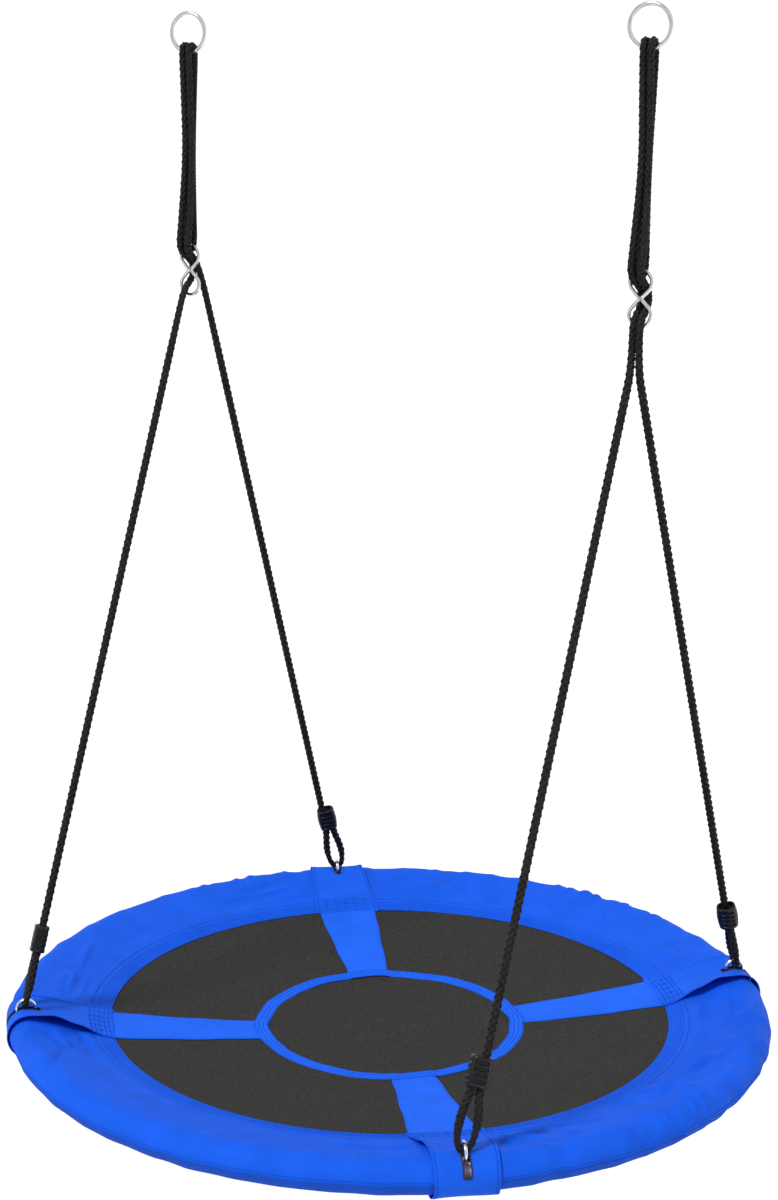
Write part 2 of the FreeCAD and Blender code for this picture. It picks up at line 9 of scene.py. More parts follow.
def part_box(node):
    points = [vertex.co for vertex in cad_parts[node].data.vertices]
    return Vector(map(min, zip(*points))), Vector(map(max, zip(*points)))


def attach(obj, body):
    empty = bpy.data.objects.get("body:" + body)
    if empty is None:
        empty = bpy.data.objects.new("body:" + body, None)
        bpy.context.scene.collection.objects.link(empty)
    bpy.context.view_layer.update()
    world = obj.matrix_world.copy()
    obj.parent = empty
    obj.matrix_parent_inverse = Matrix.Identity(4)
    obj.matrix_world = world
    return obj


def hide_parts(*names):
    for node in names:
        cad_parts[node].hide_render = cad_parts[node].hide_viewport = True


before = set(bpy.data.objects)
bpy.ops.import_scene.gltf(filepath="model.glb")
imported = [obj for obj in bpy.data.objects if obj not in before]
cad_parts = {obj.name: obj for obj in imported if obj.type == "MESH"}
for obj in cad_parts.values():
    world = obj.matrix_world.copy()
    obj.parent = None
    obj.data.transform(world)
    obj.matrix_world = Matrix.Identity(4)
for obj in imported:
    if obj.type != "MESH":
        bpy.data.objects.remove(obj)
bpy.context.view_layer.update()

# Saucer nest swing. Metres, in the CAD frame: +Z up, +X from the left hanging ring to the right
# one, -Y the front, origin at the centre of the seat's lowest plane.

# ---------------- camera

LENS = 65.4
CAMERA_PLACE = Vector((1.7018, -2.4540, 1.2984))
CAMERA_AZIMUTH = math.radians(-34.91)
CAMERA_ELEVATION = math.radians(-12.47)
CAMERA_ROLL = math.radians(0.72)

camera_data = bpy.data.cameras.new("camera")
camera_data.lens = LENS
camera_data.sensor_width = 36.0
camera_data.clip_end = 100.0
camera = bpy.data.objects.new("camera", camera_data)
bpy.context.scene.collection.objects.link(camera)
camera.location = CAMERA_PLACE
looking = Vector((
    math.sin(CAMERA_AZIMUTH) * math.cos(CAMERA_ELEVATION),
    math.cos(CAMERA_AZIMUTH) * math.cos(CAMERA_ELEVATION),
    math.sin(CAMERA_ELEVATION),
))
camera.rotation_euler = (
    looking.to_track_quat("-Z", "Y") @ Quaternion((0, 0, 1), CAMERA_ROLL)).to_euler()
bpy.context.scene.camera = camera

# ---------------- sizes

RIM_CENTRE_RADIUS = 0.5245
RIM_HEIGHT = 0.031
RIM_RADIUS = 0.0255
HANGER_X = RIM_CENTRE_RADIUS * math.cos(math.radians(45))
LINK_HEIGHT = 1.079
HANG_HEIGHT = 1.386
HANG_RING_RADIUS = 0.027
HANG_WIRE_RADIUS = 0.003
EYE_RISE = 0.0275
EYE_RADIUS = 0.0125
EYE_WIRE_HEIGHT = RIM_HEIGHT + EYE_RISE + EYE_RADIUS
ROPE_RADIUS = 0.00475
EYE_ANGLES = {"front_right": -45, "back_right": 45, "back_left": 135, "front_left": 225}
SIDES = {"left": -1, "right": 1}


# ---------------- mesh helpers

def add_object(name, data):
    """A new object in the scene that shows some data."""
    obj = bpy.data.objects.new(name, data)
    bpy.context.scene.collection.objects.link(obj)
    return obj


def new_object(name, vertices, quads):
    """A smooth-shaded mesh object from arrays of vertices and quads."""
    mesh = bpy.data.meshes.new(name)
    mesh.vertices.add(len(vertices))
    mesh.vertices.foreach_set("co", np.asarray(vertices, dtype=np.float32).ravel())
    mesh.loops.add(4 * len(quads))
    mesh.loops.foreach_set("vertex_index", np.asarray(quads, dtype=np.int32).ravel())
    mesh.polygons.add(len(quads))
    mesh.polygons.foreach_set("loop_start", np.arange(0, 4 * len(quads), 4, dtype=np.int32))
    mesh.polygons.foreach_set("loop_total", np.full(len(quads), 4, dtype=np.int32))
    mesh.polygons.foreach_set("use_smooth", [True] * len(quads))
    mesh.update(calc_edges=True)
    return add_object(name, mesh)


def stand_in(obj, body, node):
    """The object rides a body and is shown instead of its CAD node."""
    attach(obj, body)
    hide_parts(node)


def smooth_step(x, low, high):
    """0 below low, 1 above high, smooth between."""
    t = np.clip((x - low) / (high - low), 0.0, 1.0)
    return t * t * (3 - 2 * t)


def plateau(x, low, risen, falling, fallen):
    """0 outside low and fallen, 1 between risen and falling."""
    return smooth_step(x, low, risen) * (1 - smooth_step(x, falling, fallen))


def bell(x, at, width):
    """A smooth bump of height 1 at a place."""
    return np.exp(-((x - at) / width) ** 2)


def full_turn(count):
    """Evenly spaced angles round a full turn."""
    return np.linspace(0, 2 * math.pi, count, endpoint=False)


def unit(rows):
    """Rows scaled to length one."""
    return rows / np.linalg.norm(rows, axis=-1, keepdims=True)


def run_along(points):
    """Distance along a line at each of its points."""
    return np.concatenate([[0.0], np.cumsum(np.linalg.norm(np.diff(points, axis=0), axis=1))])


def points_at(points, run, at):
    """Points of a line at distances along it."""
    return np.stack([np.interp(at, run, column) for column in points.T], axis=1)


# ---------------- ropes

# Half the spacing of a leg's two strands in its ferrule.
STRAND_OFFSET = ROPE_RADIUS + 0.0001
# Slings end and legs begin at this height. The gap is negative, so they overlap a little.
PIVOT_HEIGHT = LINK_HEIGHT - 0.046
PIVOT_GAP = -0.0006
# The right-hand legs part this far below their link.
FORK_DROP = 0.088
# A leg's loop round its eye, and where its ferrule and tail lie, along the leg from the eye.
LOOP_RADIUS = 0.0095
LOOP_FLARE = math.radians(8)
LOOP_SHOULDER = 0.024
FERRULE_FOOT = 0.069
LOOP_END = FERRULE_FOOT - 0.003
FERRULE_LENGTH = 0.038
TAIL_LENGTH = 0.027
# Where the rope passes a link's wire, in Y.
BEHIND = 0.0126
IN_FRONT = -0.0080
# The two bights round a hanging ring's wire, above the link.
BIGHT = 0.0094
BIGHT_OFFSET = 0.0051
TOP = HANG_HEIGHT + 0.0005 - LINK_HEIGHT
BIGHT_CORNER = BIGHT * math.tan(math.radians(22.5))
# The four strands half-way up a sling.
BUNDLE_HEIGHT = 0.165
BUNDLE_HALF = 0.0054
# The strands come together or part over this length next to the ring and the link.
BUNDLE_RUN = 0.057
# Half the spacing of strands that pass a link's wire side by side.
LANE = 0.0049
LINK_TOP = 0.0276
RING_TURNS = {"left": math.radians(9), "right": math.radians(9.5)}

hanger = {side: Vector((sign * HANGER_X, 0, LINK_HEIGHT)) for side, sign in SIDES.items()}
LEG_HEADS = {
    "front_left": Vector((-LANE, IN_FRONT, -0.027)),
    "back_left": Vector((LANE, BEHIND, 0.012)),
    "front_right": Vector((-LANE, IN_FRONT, -FORK_DROP)),
    "back_right": Vector((LANE, IN_FRONT, -FORK_DROP)),
}


def leg_frame(name):
    """A leg's anchor on its eye's wire, its direction, its loop's sideways direction, its head."""
    side = name.split("_")[1]
    angle = math.radians(EYE_ANGLES[name])
    anchor = Vector((
        RIM_CENTRE_RADIUS * math.cos(angle), RIM_CENTRE_RADIUS * math.sin(angle), EYE_WIRE_HEIGHT))
    head = hanger[side] + LEG_HEADS[name]
    along_rim = Vector((-math.sin(angle), math.cos(angle), 0))
    up = (head - anchor).normalized()
    for _ in range(6):
        across = (along_rim - up * along_rim.dot(up)).normalized()
        up = (head - anchor - across * STRAND_OFFSET).normalized()
    return anchor, up, across, head


def down_to(start, toward, height):
    """The point at a height on the line from start toward another point."""
    return start + (toward - start) * ((start.z - height) / (start.z - toward.z))


def leg_points(name):
    """A leg's route: down from the link, through its ferrule, round the eye and back."""
    anchor, up, across, head = leg_frame(name)
    standing = anchor + across * STRAND_OFFSET
    if name.endswith("right"):
        upper = [
            Vector((head.x, head.y, PIVOT_HEIGHT - PIVOT_GAP)), head,
            down_to(head, standing, head.z - 0.0407)]
    else:
        upper = [down_to(head, standing, PIVOT_HEIGHT - PIVOT_GAP)]
    loop_corner = LOOP_RADIUS * math.tan((math.pi / 2 - LOOP_FLARE) / 2)
    shoulder = loop_corner + (LOOP_SHOULDER + LOOP_RADIUS) * math.tan(LOOP_FLARE)
    half_loop = [
        (STRAND_OFFSET, LOOP_END),
        (shoulder, LOOP_SHOULDER),
        (loop_corner, -LOOP_RADIUS),
    ]
    other_half = [(-sideways, along) for sideways, along in reversed(half_loop)]
    # A point just above the ferrule keeps the long run straight down to it.
    lower = [(STRAND_OFFSET, LOOP_END + 0.042)]
    lower += half_loop + other_half + [(-STRAND_OFFSET, FERRULE_FOOT + TAIL_LENGTH)]
    return upper + [anchor + across * sideways + up * along for sideways, along in lower]


def sling_points(side):
    """A sling's route: the four strands between the link and the ring, with three bights."""
    base = hanger[side]
    low = PIVOT_HEIGHT + PIVOT_GAP
    if side == "right":
        end = low - base.z
        front = [Vector((-LANE, IN_FRONT, end)), Vector((-LANE, IN_FRONT, -0.027))]
        back = [
            Vector((LANE, BEHIND, -0.011)),
            Vector((LANE, IN_FRONT, -0.027)),
            Vector((LANE, IN_FRONT, end)),
        ]
        front = [base + p for p in front]
        back = [base + p for p in back]
    else:
        ends = []
        for name in ("front_left", "back_left"):
            anchor, up, across, head = leg_frame(name)
            ends.append((down_to(head, anchor + across * STRAND_OFFSET, low), head))
        front = [ends[0][0], ends[0][1]]
        back = [ends[1][0]]
    c = BIGHT_CORNER
    turn = Matrix.Rotation(RING_TURNS[side], 3, "Z")
    below_ring = TOP + c - BUNDLE_RUN
    above_link = LINK_TOP + BUNDLE_RUN
    bights = {}
    for sign in (-1, 1):
        bights[sign] = [
            turn @ Vector((sign * BIGHT_OFFSET, y, z))
            for y, z in (
                (-BUNDLE_HALF, below_ring), (-BIGHT, TOP + c), (-c, TOP + BIGHT),
                (c, TOP + BIGHT), (BIGHT, TOP + c), (BUNDLE_HALF, below_ring))
        ]
    middle = [
        Vector((-LANE, BEHIND, -0.011)),
        Vector((-LANE, BEHIND, 0.012)),
        Vector((-0.008, -0.0146, 0.028)),
        Vector((-0.0070, -0.0120, 0.060)),
        Vector((-0.0011, -0.0058, BUNDLE_HEIGHT)),
        *bights[-1],
        Vector((-0.0058, 0.0011, BUNDLE_HEIGHT)),
        Vector((-0.0020, -0.0058, above_link)),
        Vector((-0.0015, IN_FRONT, LINK_TOP)),
        Vector((0.0015, -IN_FRONT, LINK_TOP)),
        Vector((0.0016, 0.0066, above_link)),
        Vector((0.0011, 0.0058, BUNDLE_HEIGHT)),
        *reversed(bights[1]),
        Vector((0.0058, -0.0011, BUNDLE_HEIGHT)),
        Vector((0.0074, -0.0090, 0.060)),
        Vector((0.0054, -0.0146, 0.028)),
        Vector((LANE, BEHIND, 0.012)),
    ]
    return front + [base + p for p in middle] + back


def spline_line(name, points):
    """The points of a smooth NURBS spline whose control points are the route's."""
    data = bpy.data.curves.new(name + "_route", "CURVE")
    data.dimensions = "3D"
    data.resolution_u = 24
    spline = data.splines.new("NURBS")
    spline.points.add(len(points) - 1)
    for control, point in zip(spline.points, points):
        control.co = (*point, 1.0)
    spline.order_u = 3
    spline.use_endpoint_u = True
    obj = add_object(name + "_route", data)
    bpy.context.view_layer.update()
    mesh = bpy.data.meshes.new_from_object(obj)
    line = np.array([v.co[:] for v in mesh.vertices])
    bpy.data.objects.remove(obj)
    bpy.data.curves.remove(data)
    bpy.data.meshes.remove(mesh)
    return line


def even_steps(line, step):
    """The same line in equal steps, with its total length."""
    run = run_along(line)
    count = max(8, int(round(run[-1] / step)))
    return points_at(line, run, np.linspace(0.0, run[-1], count + 1)), run[-1]


def carried_frames(line):
    """Tangent, normal and binormal along a line, without twist."""
    tangent = unit(np.gradient(line, axis=0))
    normal = np.zeros_like(tangent)
    start = np.array([math.sin(CAMERA_AZIMUTH), math.cos(CAMERA_AZIMUTH), 0.0])
    if abs(start.dot(tangent[0])) > 0.9:
        start = np.array([0.0, 0.0, 1.0])
    normal[0] = start - tangent[0] * start.dot(tangent[0])
    normal[0] /= np.linalg.norm(normal[0])
    for i in range(1, len(line)):
        n = normal[i - 1] - tangent[i] * normal[i - 1].dot(tangent[i])
        normal[i] = n / np.linalg.norm(n)
    return tangent, normal, np.cross(tangent, normal)


def loft(sections, closed=False):
    """Vertices and quads of rings of points, shape (rings, even sides, 3), closed or capped."""
    rings, sides, _ = sections.shape
    index = np.arange(rings * sides).reshape(rings, sides)
    joined = np.vstack([index, index[:1]]) if closed else index
    a = joined[:-1]
    b = joined[1:]
    corners = [a, np.roll(a, -1, axis=1), np.roll(b, -1, axis=1), b]
    quads = [np.stack(corners, axis=-1).reshape(-1, 4)]
    if not closed:
        k = np.arange(sides // 2 - 1)
        cap = np.stack([k, k + 1, sides - 2 - k, sides - 1 - k], axis=-1)
        quads += [index[0][cap][:, ::-1], index[-1][cap]]
    return sections.reshape(-1, 3), np.concatenate(quads)


def oval_tube(line, outward, half_width, half_thickness, swell=None, closed=False):
    """An oval tube along a line, its flat side facing outward, tapered at open ends."""
    if closed:
        tangent = unit(np.roll(line, -1, axis=0) - np.roll(line, 1, axis=0))
    else:
        tangent = unit(np.gradient(line, axis=0))
    out = unit(outward - tangent * np.sum(outward * tangent, axis=1, keepdims=True))
    side = np.cross(tangent, out)
    turn = full_turn(8)
    ring = (
        out[:, None, :] * (np.sin(turn)[None, :, None] * half_thickness)
        + side[:, None, :] * (np.cos(turn)[None, :, None] * half_width)
    )
    size = np.ones(len(line)) if swell is None else swell.copy()
    if not closed:
        size[[0, -1]] *= 0.75
    return loft(line[:, None, :] + ring * size[:, None, None], closed)


BRAID_PITCH = 0.040
BRAID_MID = 0.0031
BRAID_WAVE = 0.00095
STRAND_HALF_WIDTH = 0.0019
STRAND_HALF_THICKNESS = 0.00150
BRAID_STEP = 0.0016
LEG_SWELL = 0.12
SLING_SHRINK = 0.06
PINCH_TOP = 0.092
LOOP_PINCH = 0.26
CORE_RADIUS = 0.0024


def braided_rope(name, points):
    """A rope of eight plaited strands round a core, with its line and its length."""
    line, length = even_steps(spline_line(name, points), BRAID_STEP)
    _, normal, binormal = carried_frames(line)
    # The plait is loose in the legs, pinched where it bears on the eyes, and tight in the slings.
    height = line[:, 2]
    loose = np.clip((PIVOT_HEIGHT - 0.02 - height) / 0.06, 0.0, 1.0)
    pinched = np.clip((PINCH_TOP - height) / 0.012, 0.0, 1.0)
    tight = np.clip((height - LINK_HEIGHT - 0.03) / 0.04, 0.0, 1.0)
    swell = 1.0 + LEG_SWELL * loose - LOOP_PINCH * pinched - SLING_SHRINK * tight
    along = np.linspace(0.0, length, len(line))
    vertices = []
    quads = []
    total = 0
    for sense in (1, -1):
        for strand in range(4):
            angle = sense * 2 * math.pi * along / BRAID_PITCH + strand * math.pi / 2
            outward = normal * np.cos(angle)[:, None] + binormal * np.sin(angle)[:, None]
            wave = sense * BRAID_WAVE * np.cos(8 * math.pi * along / BRAID_PITCH)
            centre = line + outward * ((BRAID_MID + wave) * swell)[:, None]
            v, q = oval_tube(
                centre, outward, STRAND_HALF_WIDTH, STRAND_HALF_THICKNESS, swell)
            vertices.append(v)
            quads.append(q + total)
            total += len(v)
    core_line = line[::3] if (len(line) - 1) % 3 == 0 else np.vstack([line[::3], line[-1:]])
    _, core_normal, _ = carried_frames(core_line)
    v, q = oval_tube(core_line, core_normal, CORE_RADIUS, CORE_RADIUS)
    vertices.append(v)
    quads.append(q + total)
    return new_object(name, np.concatenate(vertices), np.concatenate(quads)), line, length


rope_runs = [("sling_rope_" + side, "sling_" + side, sling_points(side)) for side in SIDES]
for name in EYE_ANGLES:
    rope_runs.append(("leg_rope_" + name, "legs_" + name.split("_")[1], leg_points(name)))

ropes = []
for node, body, points in rope_runs:
    rope, line, length = braided_rope("braided_" + node, points)
    print(node, "spline length", round(length, 4))
    stand_in(rope, body, node)
    ropes.append(rope)

# ---------------- the seat's surfaces

HEM_RADIUS = 0.405
HEM_TOP = 0.0263
HEM_LOW = 0.0224
rng = np.random.default_rng(34)


def tangent_run(hem_height, side):
    """Bearing and length of the straight run from the hem to the rim's round section."""
    dx = RIM_CENTRE_RADIUS - HEM_RADIUS
    dz = RIM_HEIGHT - hem_height
    reach = math.hypot(dx, dz)
    bearing = math.atan2(dz, dx) + side * math.asin(RIM_RADIUS / reach)
    return bearing, math.sqrt(reach ** 2 - RIM_RADIUS ** 2)


TOP_BEARING, TOP_RUN = tangent_run(HEM_TOP, 1)
LOW_BEARING, LOW_RUN = tangent_run(HEM_LOW, -1)
ARC_START = TOP_BEARING + math.pi / 2
ARC_END = LOW_BEARING - math.pi / 2
ARC_RUN = RIM_RADIUS * (ARC_START - ARC_END)
GIRTH = TOP_RUN + ARC_RUN + LOW_RUN


def girth_at(angle):
    """Distance round the cover's profile to where its normal points at an angle above outward."""
    return TOP_RUN + RIM_RADIUS * (ARC_START - angle)


def profile_at(s):
    """Radius, height and outward normal of the cover's profile, a distance from the hem's top."""
    s = np.asarray(s, dtype=float)
    back = GIRTH - s
    arc = ARC_START - (s - TOP_RUN) / RIM_RADIUS

    def pick(top, low, arc_value):
        return np.select([s < TOP_RUN, s > TOP_RUN + ARC_RUN], [top, low], arc_value)

    rho = pick(
        HEM_RADIUS + s * math.cos(TOP_BEARING), HEM_RADIUS + back * math.cos(LOW_BEARING),
        RIM_CENTRE_RADIUS + RIM_RADIUS * np.cos(arc))
    z = pick(
        HEM_TOP + s * math.sin(TOP_BEARING), HEM_LOW + back * math.sin(LOW_BEARING),
        RIM_HEIGHT + RIM_RADIUS * np.sin(arc))
    nr = pick(-math.sin(TOP_BEARING), math.sin(LOW_BEARING), np.cos(arc))
    nz = pick(math.cos(TOP_BEARING), -math.cos(LOW_BEARING), np.sin(arc))
    return rho, z, nr, nz


def rim_point(bearing, s, lift):
    """Points on the cover at a bearing round the swing, lifted along the profile's normal."""
    rho, z, nr, nz = profile_at(s)
    r = rho + nr * lift
    return np.stack([r * np.cos(bearing), r * np.sin(bearing), z + nz * lift], axis=-1)


def strip_point(eye_angle, s, t, lift):
    """Points beside an eye's radius: s round the profile, t sideways, lifted off the cover."""
    rho = profile_at(s)[0]
    return rim_point(eye_angle + np.arcsin(np.clip(t / rho, -1, 1)), s, lift)


MAT_EDGE = 0.02511
MAT_SAG = 0.0270


def mat_height(rho):
    """The visible top of the mat."""
    return MAT_EDGE - MAT_SAG * (1 - (np.asarray(rho) / HEM_RADIUS) ** 2)


def mat_point(x, y, lift):
    """Points on the mat's top, lifted."""
    rho = np.hypot(x, y)
    slope = 2 * MAT_SAG * rho / HEM_RADIUS ** 2
    lean = np.sqrt(1 + slope ** 2)
    inward = np.where(rho > 1e-9, slope / np.maximum(rho, 1e-9), 0.0) * lift / lean
    return np.stack([x - x * inward, y - y * inward, mat_height(rho) + lift / lean], axis=-1)


def cloth(name, node, grid, uv, closed=False, hole=None, thickness=0.0012):
    """A sheet of cloth on the seat, from a grid of points; hole marks the cells cut out."""
    rows, cols, _ = grid.shape
    i, j = np.meshgrid(np.arange(rows - 1), np.arange(cols if closed else cols - 1), indexing="ij")
    if hole is not None:
        keep = ~hole[:, : j.shape[1]]
        i, j = i[keep], j[keep]
    else:
        i, j = i.ravel(), j.ravel()
    corners = [(i, j), (i + 1, j), (i + 1, j + 1), (i, j + 1)]
    quads = np.stack([a * cols + (b % cols) for a, b in corners], axis=-1)
    loops_uv = np.stack([uv[a, b] for a, b in corners], axis=1).reshape(-1, 2)
    used, quads = np.unique(quads, return_inverse=True)
    obj = new_object(name, grid.reshape(-1, 3)[used], quads.reshape(-1, 4))
    layer = obj.data.uv_layers.new(name="cloth")
    layer.data.foreach_set("uv", loops_uv.astype(np.float32).ravel())
    wall = obj.modifiers.new("thickness", "SOLIDIFY")
    wall.thickness = thickness
    wall.offset = -1.0
    stand_in(obj, "seat", node)
    return obj


def past(bearing, start, period=2 * math.pi):
    """How far a bearing is past a start, from minus to plus half a period."""
    return (bearing - start + period / 2) % period - period / 2


def nearest_eye(bearing):
    """The bearing measured from the nearest eye."""
    return past(bearing, math.pi / 4, math.pi / 2)


# ---------------- rim cover

HEM_ROWS = (0.0035, 0.0080, 0.0125, 0.0170, 0.0215, 0.0300)
SEAM_ANGLE = math.radians(-8)
SEAM_AT = girth_at(SEAM_ANGLE)
SLIT_START = 0.503
SLIT_END_HEIGHT = 0.035
SLIT_COVER_HALF = 0.0075
COLUMNS = 1080
# Lengths along the rim are bearings times this radius.
LAY_RADIUS = 0.49
# All creases are deepened by this.
CREASE_DEPTH = 1.8


def crease_field(bearing, s, creases):
    """Height of all creases: each a soft ridge with a place, slant, length, width and height."""
    field = np.zeros(np.broadcast(bearing, s).shape)
    for where, s0, slant, length, width, height, bend in creases:
        da = past(bearing, where) * LAY_RADIUS
        ds = s - s0
        x = da * math.cos(slant) + ds * math.sin(slant)
        y = -da * math.sin(slant) + ds * math.cos(slant) - bend * x * x
        field += CREASE_DEPTH * height * bell(y, 0.0, width) * np.exp(-((2 * x / length) ** 4))
    return field


def crease_group(count, bearings, places, slant, lengths, widths, heights, bend):
    """Creases drawn between limits; bearings in degrees, slant and bend by their spread."""
    return [
        (
            math.radians(rng.uniform(*bearings)), rng.uniform(*places), rng.normal(*slant),
            rng.uniform(*lengths), rng.uniform(*widths), rng.uniform(*heights),
            rng.normal(0, bend))
        for _ in range(count)
    ]


def rim_creases():
    """Soft gathers over the rim, and long shallow wrinkles that run out from the wraps."""
    upright = math.pi / 2
    creases = crease_group(
        50, (0, 360), (0.085, 0.150), (upright, 0.22), (0.04, 0.085), (0.0045, 0.0080),
        (-0.0006, 0.0003), 2.0)
    creases += crease_group(
        26, (-38, 28), (0.045, 0.120), (0.35, 0.30), (0.05, 0.13), (0.0036, 0.0070),
        (0.0009, 0.0020), 0.8)
    for where, spread, count in ((-10, 9, 11), (82, 14, 9), (150, 12, 7), (20, 10, 6)):
        creases += crease_group(
            count, (where - spread, where + spread), (0.110, 0.150), (upright + 0.15, 0.12),
            (0.035, 0.065), (0.0025, 0.0042), (0.0009, 0.0017), 1.5)
    for eye in EYE_ANGLES.values():
        for side in (-1, 1):
            for _ in range(7):
                creases.append((
                    math.radians(eye + side * rng.uniform(9, 17)), rng.uniform(0.03, 0.10),
                    side * rng.uniform(-0.30, 0.12), rng.uniform(0.06, 0.15),
                    rng.uniform(0.0040, 0.0075), rng.uniform(0.0009, 0.0020) * rng.choice((-1, 1)),
                    rng.normal(0, 0.6)))
    creases += crease_group(
        45, (0, 360), (0.050, 0.110), (0.5, 0.55), (0.07, 0.17), (0.0050, 0.0100),
        (-0.0022, 0.0022), 0.5)
    return creases


def facet_edges():
    """Where the cover's tight ridges cross the rim, and how deep it is drawn in between them."""
    edges = np.cumsum(rng.uniform(0.07, 0.19, 96))
    edges = edges[edges < 2 * math.pi - 0.05]
    return np.concatenate([[0.0], edges, [2 * math.pi]]), rng.uniform(0.0006, 0.0026, 97)


def facet_sag(bearing, s, edges, depths):
    """The cover drawn in between its ridges, which lean a little as they cross the rim."""
    leaning = (bearing + (s - 0.13) * 0.55) % (2 * math.pi)
    index = np.clip(np.searchsorted(edges, leaning, side="right") - 1, 0, len(edges) - 2)
    share = (leaning - edges[index]) / (edges[index + 1] - edges[index])
    return -4 * depths[index] * share * (1 - share)


def padding_waves():
    """The foam's slow bulges and flats round the rim: how many, how strong, where."""
    return [
        (count, rng.uniform(0.4, 1.0), rng.uniform(0, 2 * math.pi))
        for count in (7, 11, 17, 23, 31, 41, 53)
    ]


def padding_wave(bearing, waves):
    """The bulges added up."""
    return sum(size * np.sin(count * bearing + phase) for count, size, phase in waves)


def rows_between(stops):
    """Rows along the profile, with the spacing that each stretch asks for."""
    rows = [stops[0][0]]
    for (start, step), (end, _) in zip(stops, stops[1:]):
        count = max(1, int(round((end - start) / step)))
        rows += list(start + (end - start) * (np.arange(count) + 1) / count)
    return np.array(rows)


cover_rows = rows_between([
    (0.0, 0.0009), (0.033, 0.003), (SEAM_AT - 0.005, 0.0009), (SEAM_AT + 0.005, 0.0035),
    (GIRTH - 0.012, 0.0012), (GIRTH, 0.001)])
column_step = 2 * math.pi / COLUMNS
bearings = (np.arange(COLUMNS + 1) + 0.5) * column_step
creases = rim_creases()
waves = padding_waves()
ridges, ridge_depths = facet_edges()


# The two wraps' edges that stand open towards the front, and the tuck in the cover under them.
OPEN_EDGES = (("front_left", 1), ("back_right", -1))
TUCK_RADIUS = 0.465
TUCK_AT = 0.040
TUCK_DEPTH = 0.0034
# Lengths across the cover's top are bearings times this radius.
TOP_RADIUS = 0.5
# The creases reach in no deeper, or the foam would show through.
FOAM_CLEARANCE = 0.0034


def cover_lift(bearing, s):
    """How far the cover stands out from its even profile: creases, padding, seam and stitches.
    From the hem, s reaches the padded ring at about 0.09, its top at 0.12, its outer side, just
    above the seam, at 0.16 and its lowest line at 0.20."""
    off_eye = np.abs(nearest_eye(bearing)) * TOP_RADIUS
    under_wrap = 1 - smooth_step(off_eye, 0.046, 0.062)
    on_tube = plateau(s, 0.075, 0.115, GIRTH - 0.10, GIRTH - 0.06)
    in_slack = plateau(s, 0.022, 0.045, GIRTH - 0.04, GIRTH - 0.02)
    lift = crease_field(bearing, s, creases) * in_slack
    lift += 0.00028 * padding_wave(bearing, waves) * on_tube
    on_outside = plateau(s, 0.070, 0.118, SEAM_AT, SEAM_AT + 0.04)
    lift += facet_sag(bearing, s, ridges, ridge_depths) * on_outside
    lift -= 0.0016 * bell(s, 0.058, 0.022)
    lift = np.maximum(lift, -FOAM_CLEARANCE) * (1 - 0.92 * under_wrap)
    for name, edge in OPEN_EDGES:
        past_eye = past(bearing, math.radians(EYE_ANGLES[name]))
        off_edge = past_eye * TUCK_RADIUS - edge * TUCK_AT
        lift -= TUCK_DEPTH * bell(off_edge, 0.0, 0.015) * bell(s, 0.060, 0.020)
    for row in HEM_ROWS:
        lift -= 0.0003 * bell(s, row, 0.0012)
    lift -= 0.0008 * bell(s, SEAM_AT, 0.0011)
    lift -= 0.0016 * plateau(s, SEAM_AT - 0.0015, SEAM_AT + 0.012, SEAM_AT + 0.014, SEAM_AT + 0.045)
    return lift


S, B = np.meshgrid(cover_rows, bearings, indexing="ij")
lift = cover_lift(B, S)
rho_rows, z_rows, _, _ = profile_at(cover_rows)
grid = rim_point(B, S, lift)[:, :-1]
slit_rows = (rho_rows >= SLIT_START) & (z_rows >= SLIT_END_HEIGHT) & (cover_rows < SEAM_AT)
cell_mid = np.abs(nearest_eye(bearings[:-1] + column_step / 2)) * RIM_CENTRE_RADIUS
hole = (slit_rows[:-1] & slit_rows[1:])[:, None] & (cell_mid < SLIT_COVER_HALF)[None, :]
uv = np.stack([B * LAY_RADIUS, S], axis=-1)
rim_cover = cloth(
    "sewn_rim_cover", "rim_cover", grid, uv, closed=True, hole=hole)


# ---------------- mat

MAT_RADIUS = 0.417
MAT_HOLE = 0.004
radii, around = np.meshgrid(
    np.linspace(MAT_HOLE, MAT_RADIUS, 110), np.linspace(0, 2 * math.pi, 361), indexing="ij")
mat_x, mat_y = radii * np.cos(around), radii * np.sin(around)
tension = 0.0005 * np.sin(4 * around + 0.6) * np.sin(math.pi * radii / HEM_RADIUS)
tension += 0.00035 * np.sin(13 * around + 1.9) * smooth_step(radii, 0.22, 0.36)
mat_grid = mat_point(mat_x, mat_y, tension)
mat = cloth(
    "woven_seat_mat", "seat_mat", mat_grid[:, :-1],
    np.stack([mat_x, mat_y], axis=-1), closed=True, thickness=0.0015)
# The small hole in the middle of the grid is closed by one face.
editing = bmesh.new()
editing.from_mesh(mat.data)
editing.verts.ensure_lookup_table()
middle_ring = sorted(
    (v for v in editing.verts if v.co.xy.length < MAT_HOLE + 0.0005),
    key=lambda v: math.atan2(v.co.y, v.co.x))
cap = editing.faces.new(middle_ring)
cap.smooth = True
cloth_layer = editing.loops.layers.uv["cloth"]
for loop in cap.loops:
    loop[cloth_layer].uv = loop.vert.co.xy
editing.to_mesh(mat.data)
editing.free()

# ---------------- bands on the mat

ROUND_INNER = 0.175
ROUND_OUTER = 0.1965
CROSS_INNER_WIDTH = 0.062
CROSS_OUTER_WIDTH = 0.092
CROSS_START = 0.186
CROSS_END = 0.4095
ROUND_STITCHES = (0.09, 0.36, 0.64, 0.91)
ROUND_MIDDLE = 0.19
# The round band's weave is laid out by bearings times this radius.
ROUND_LAY = 0.186


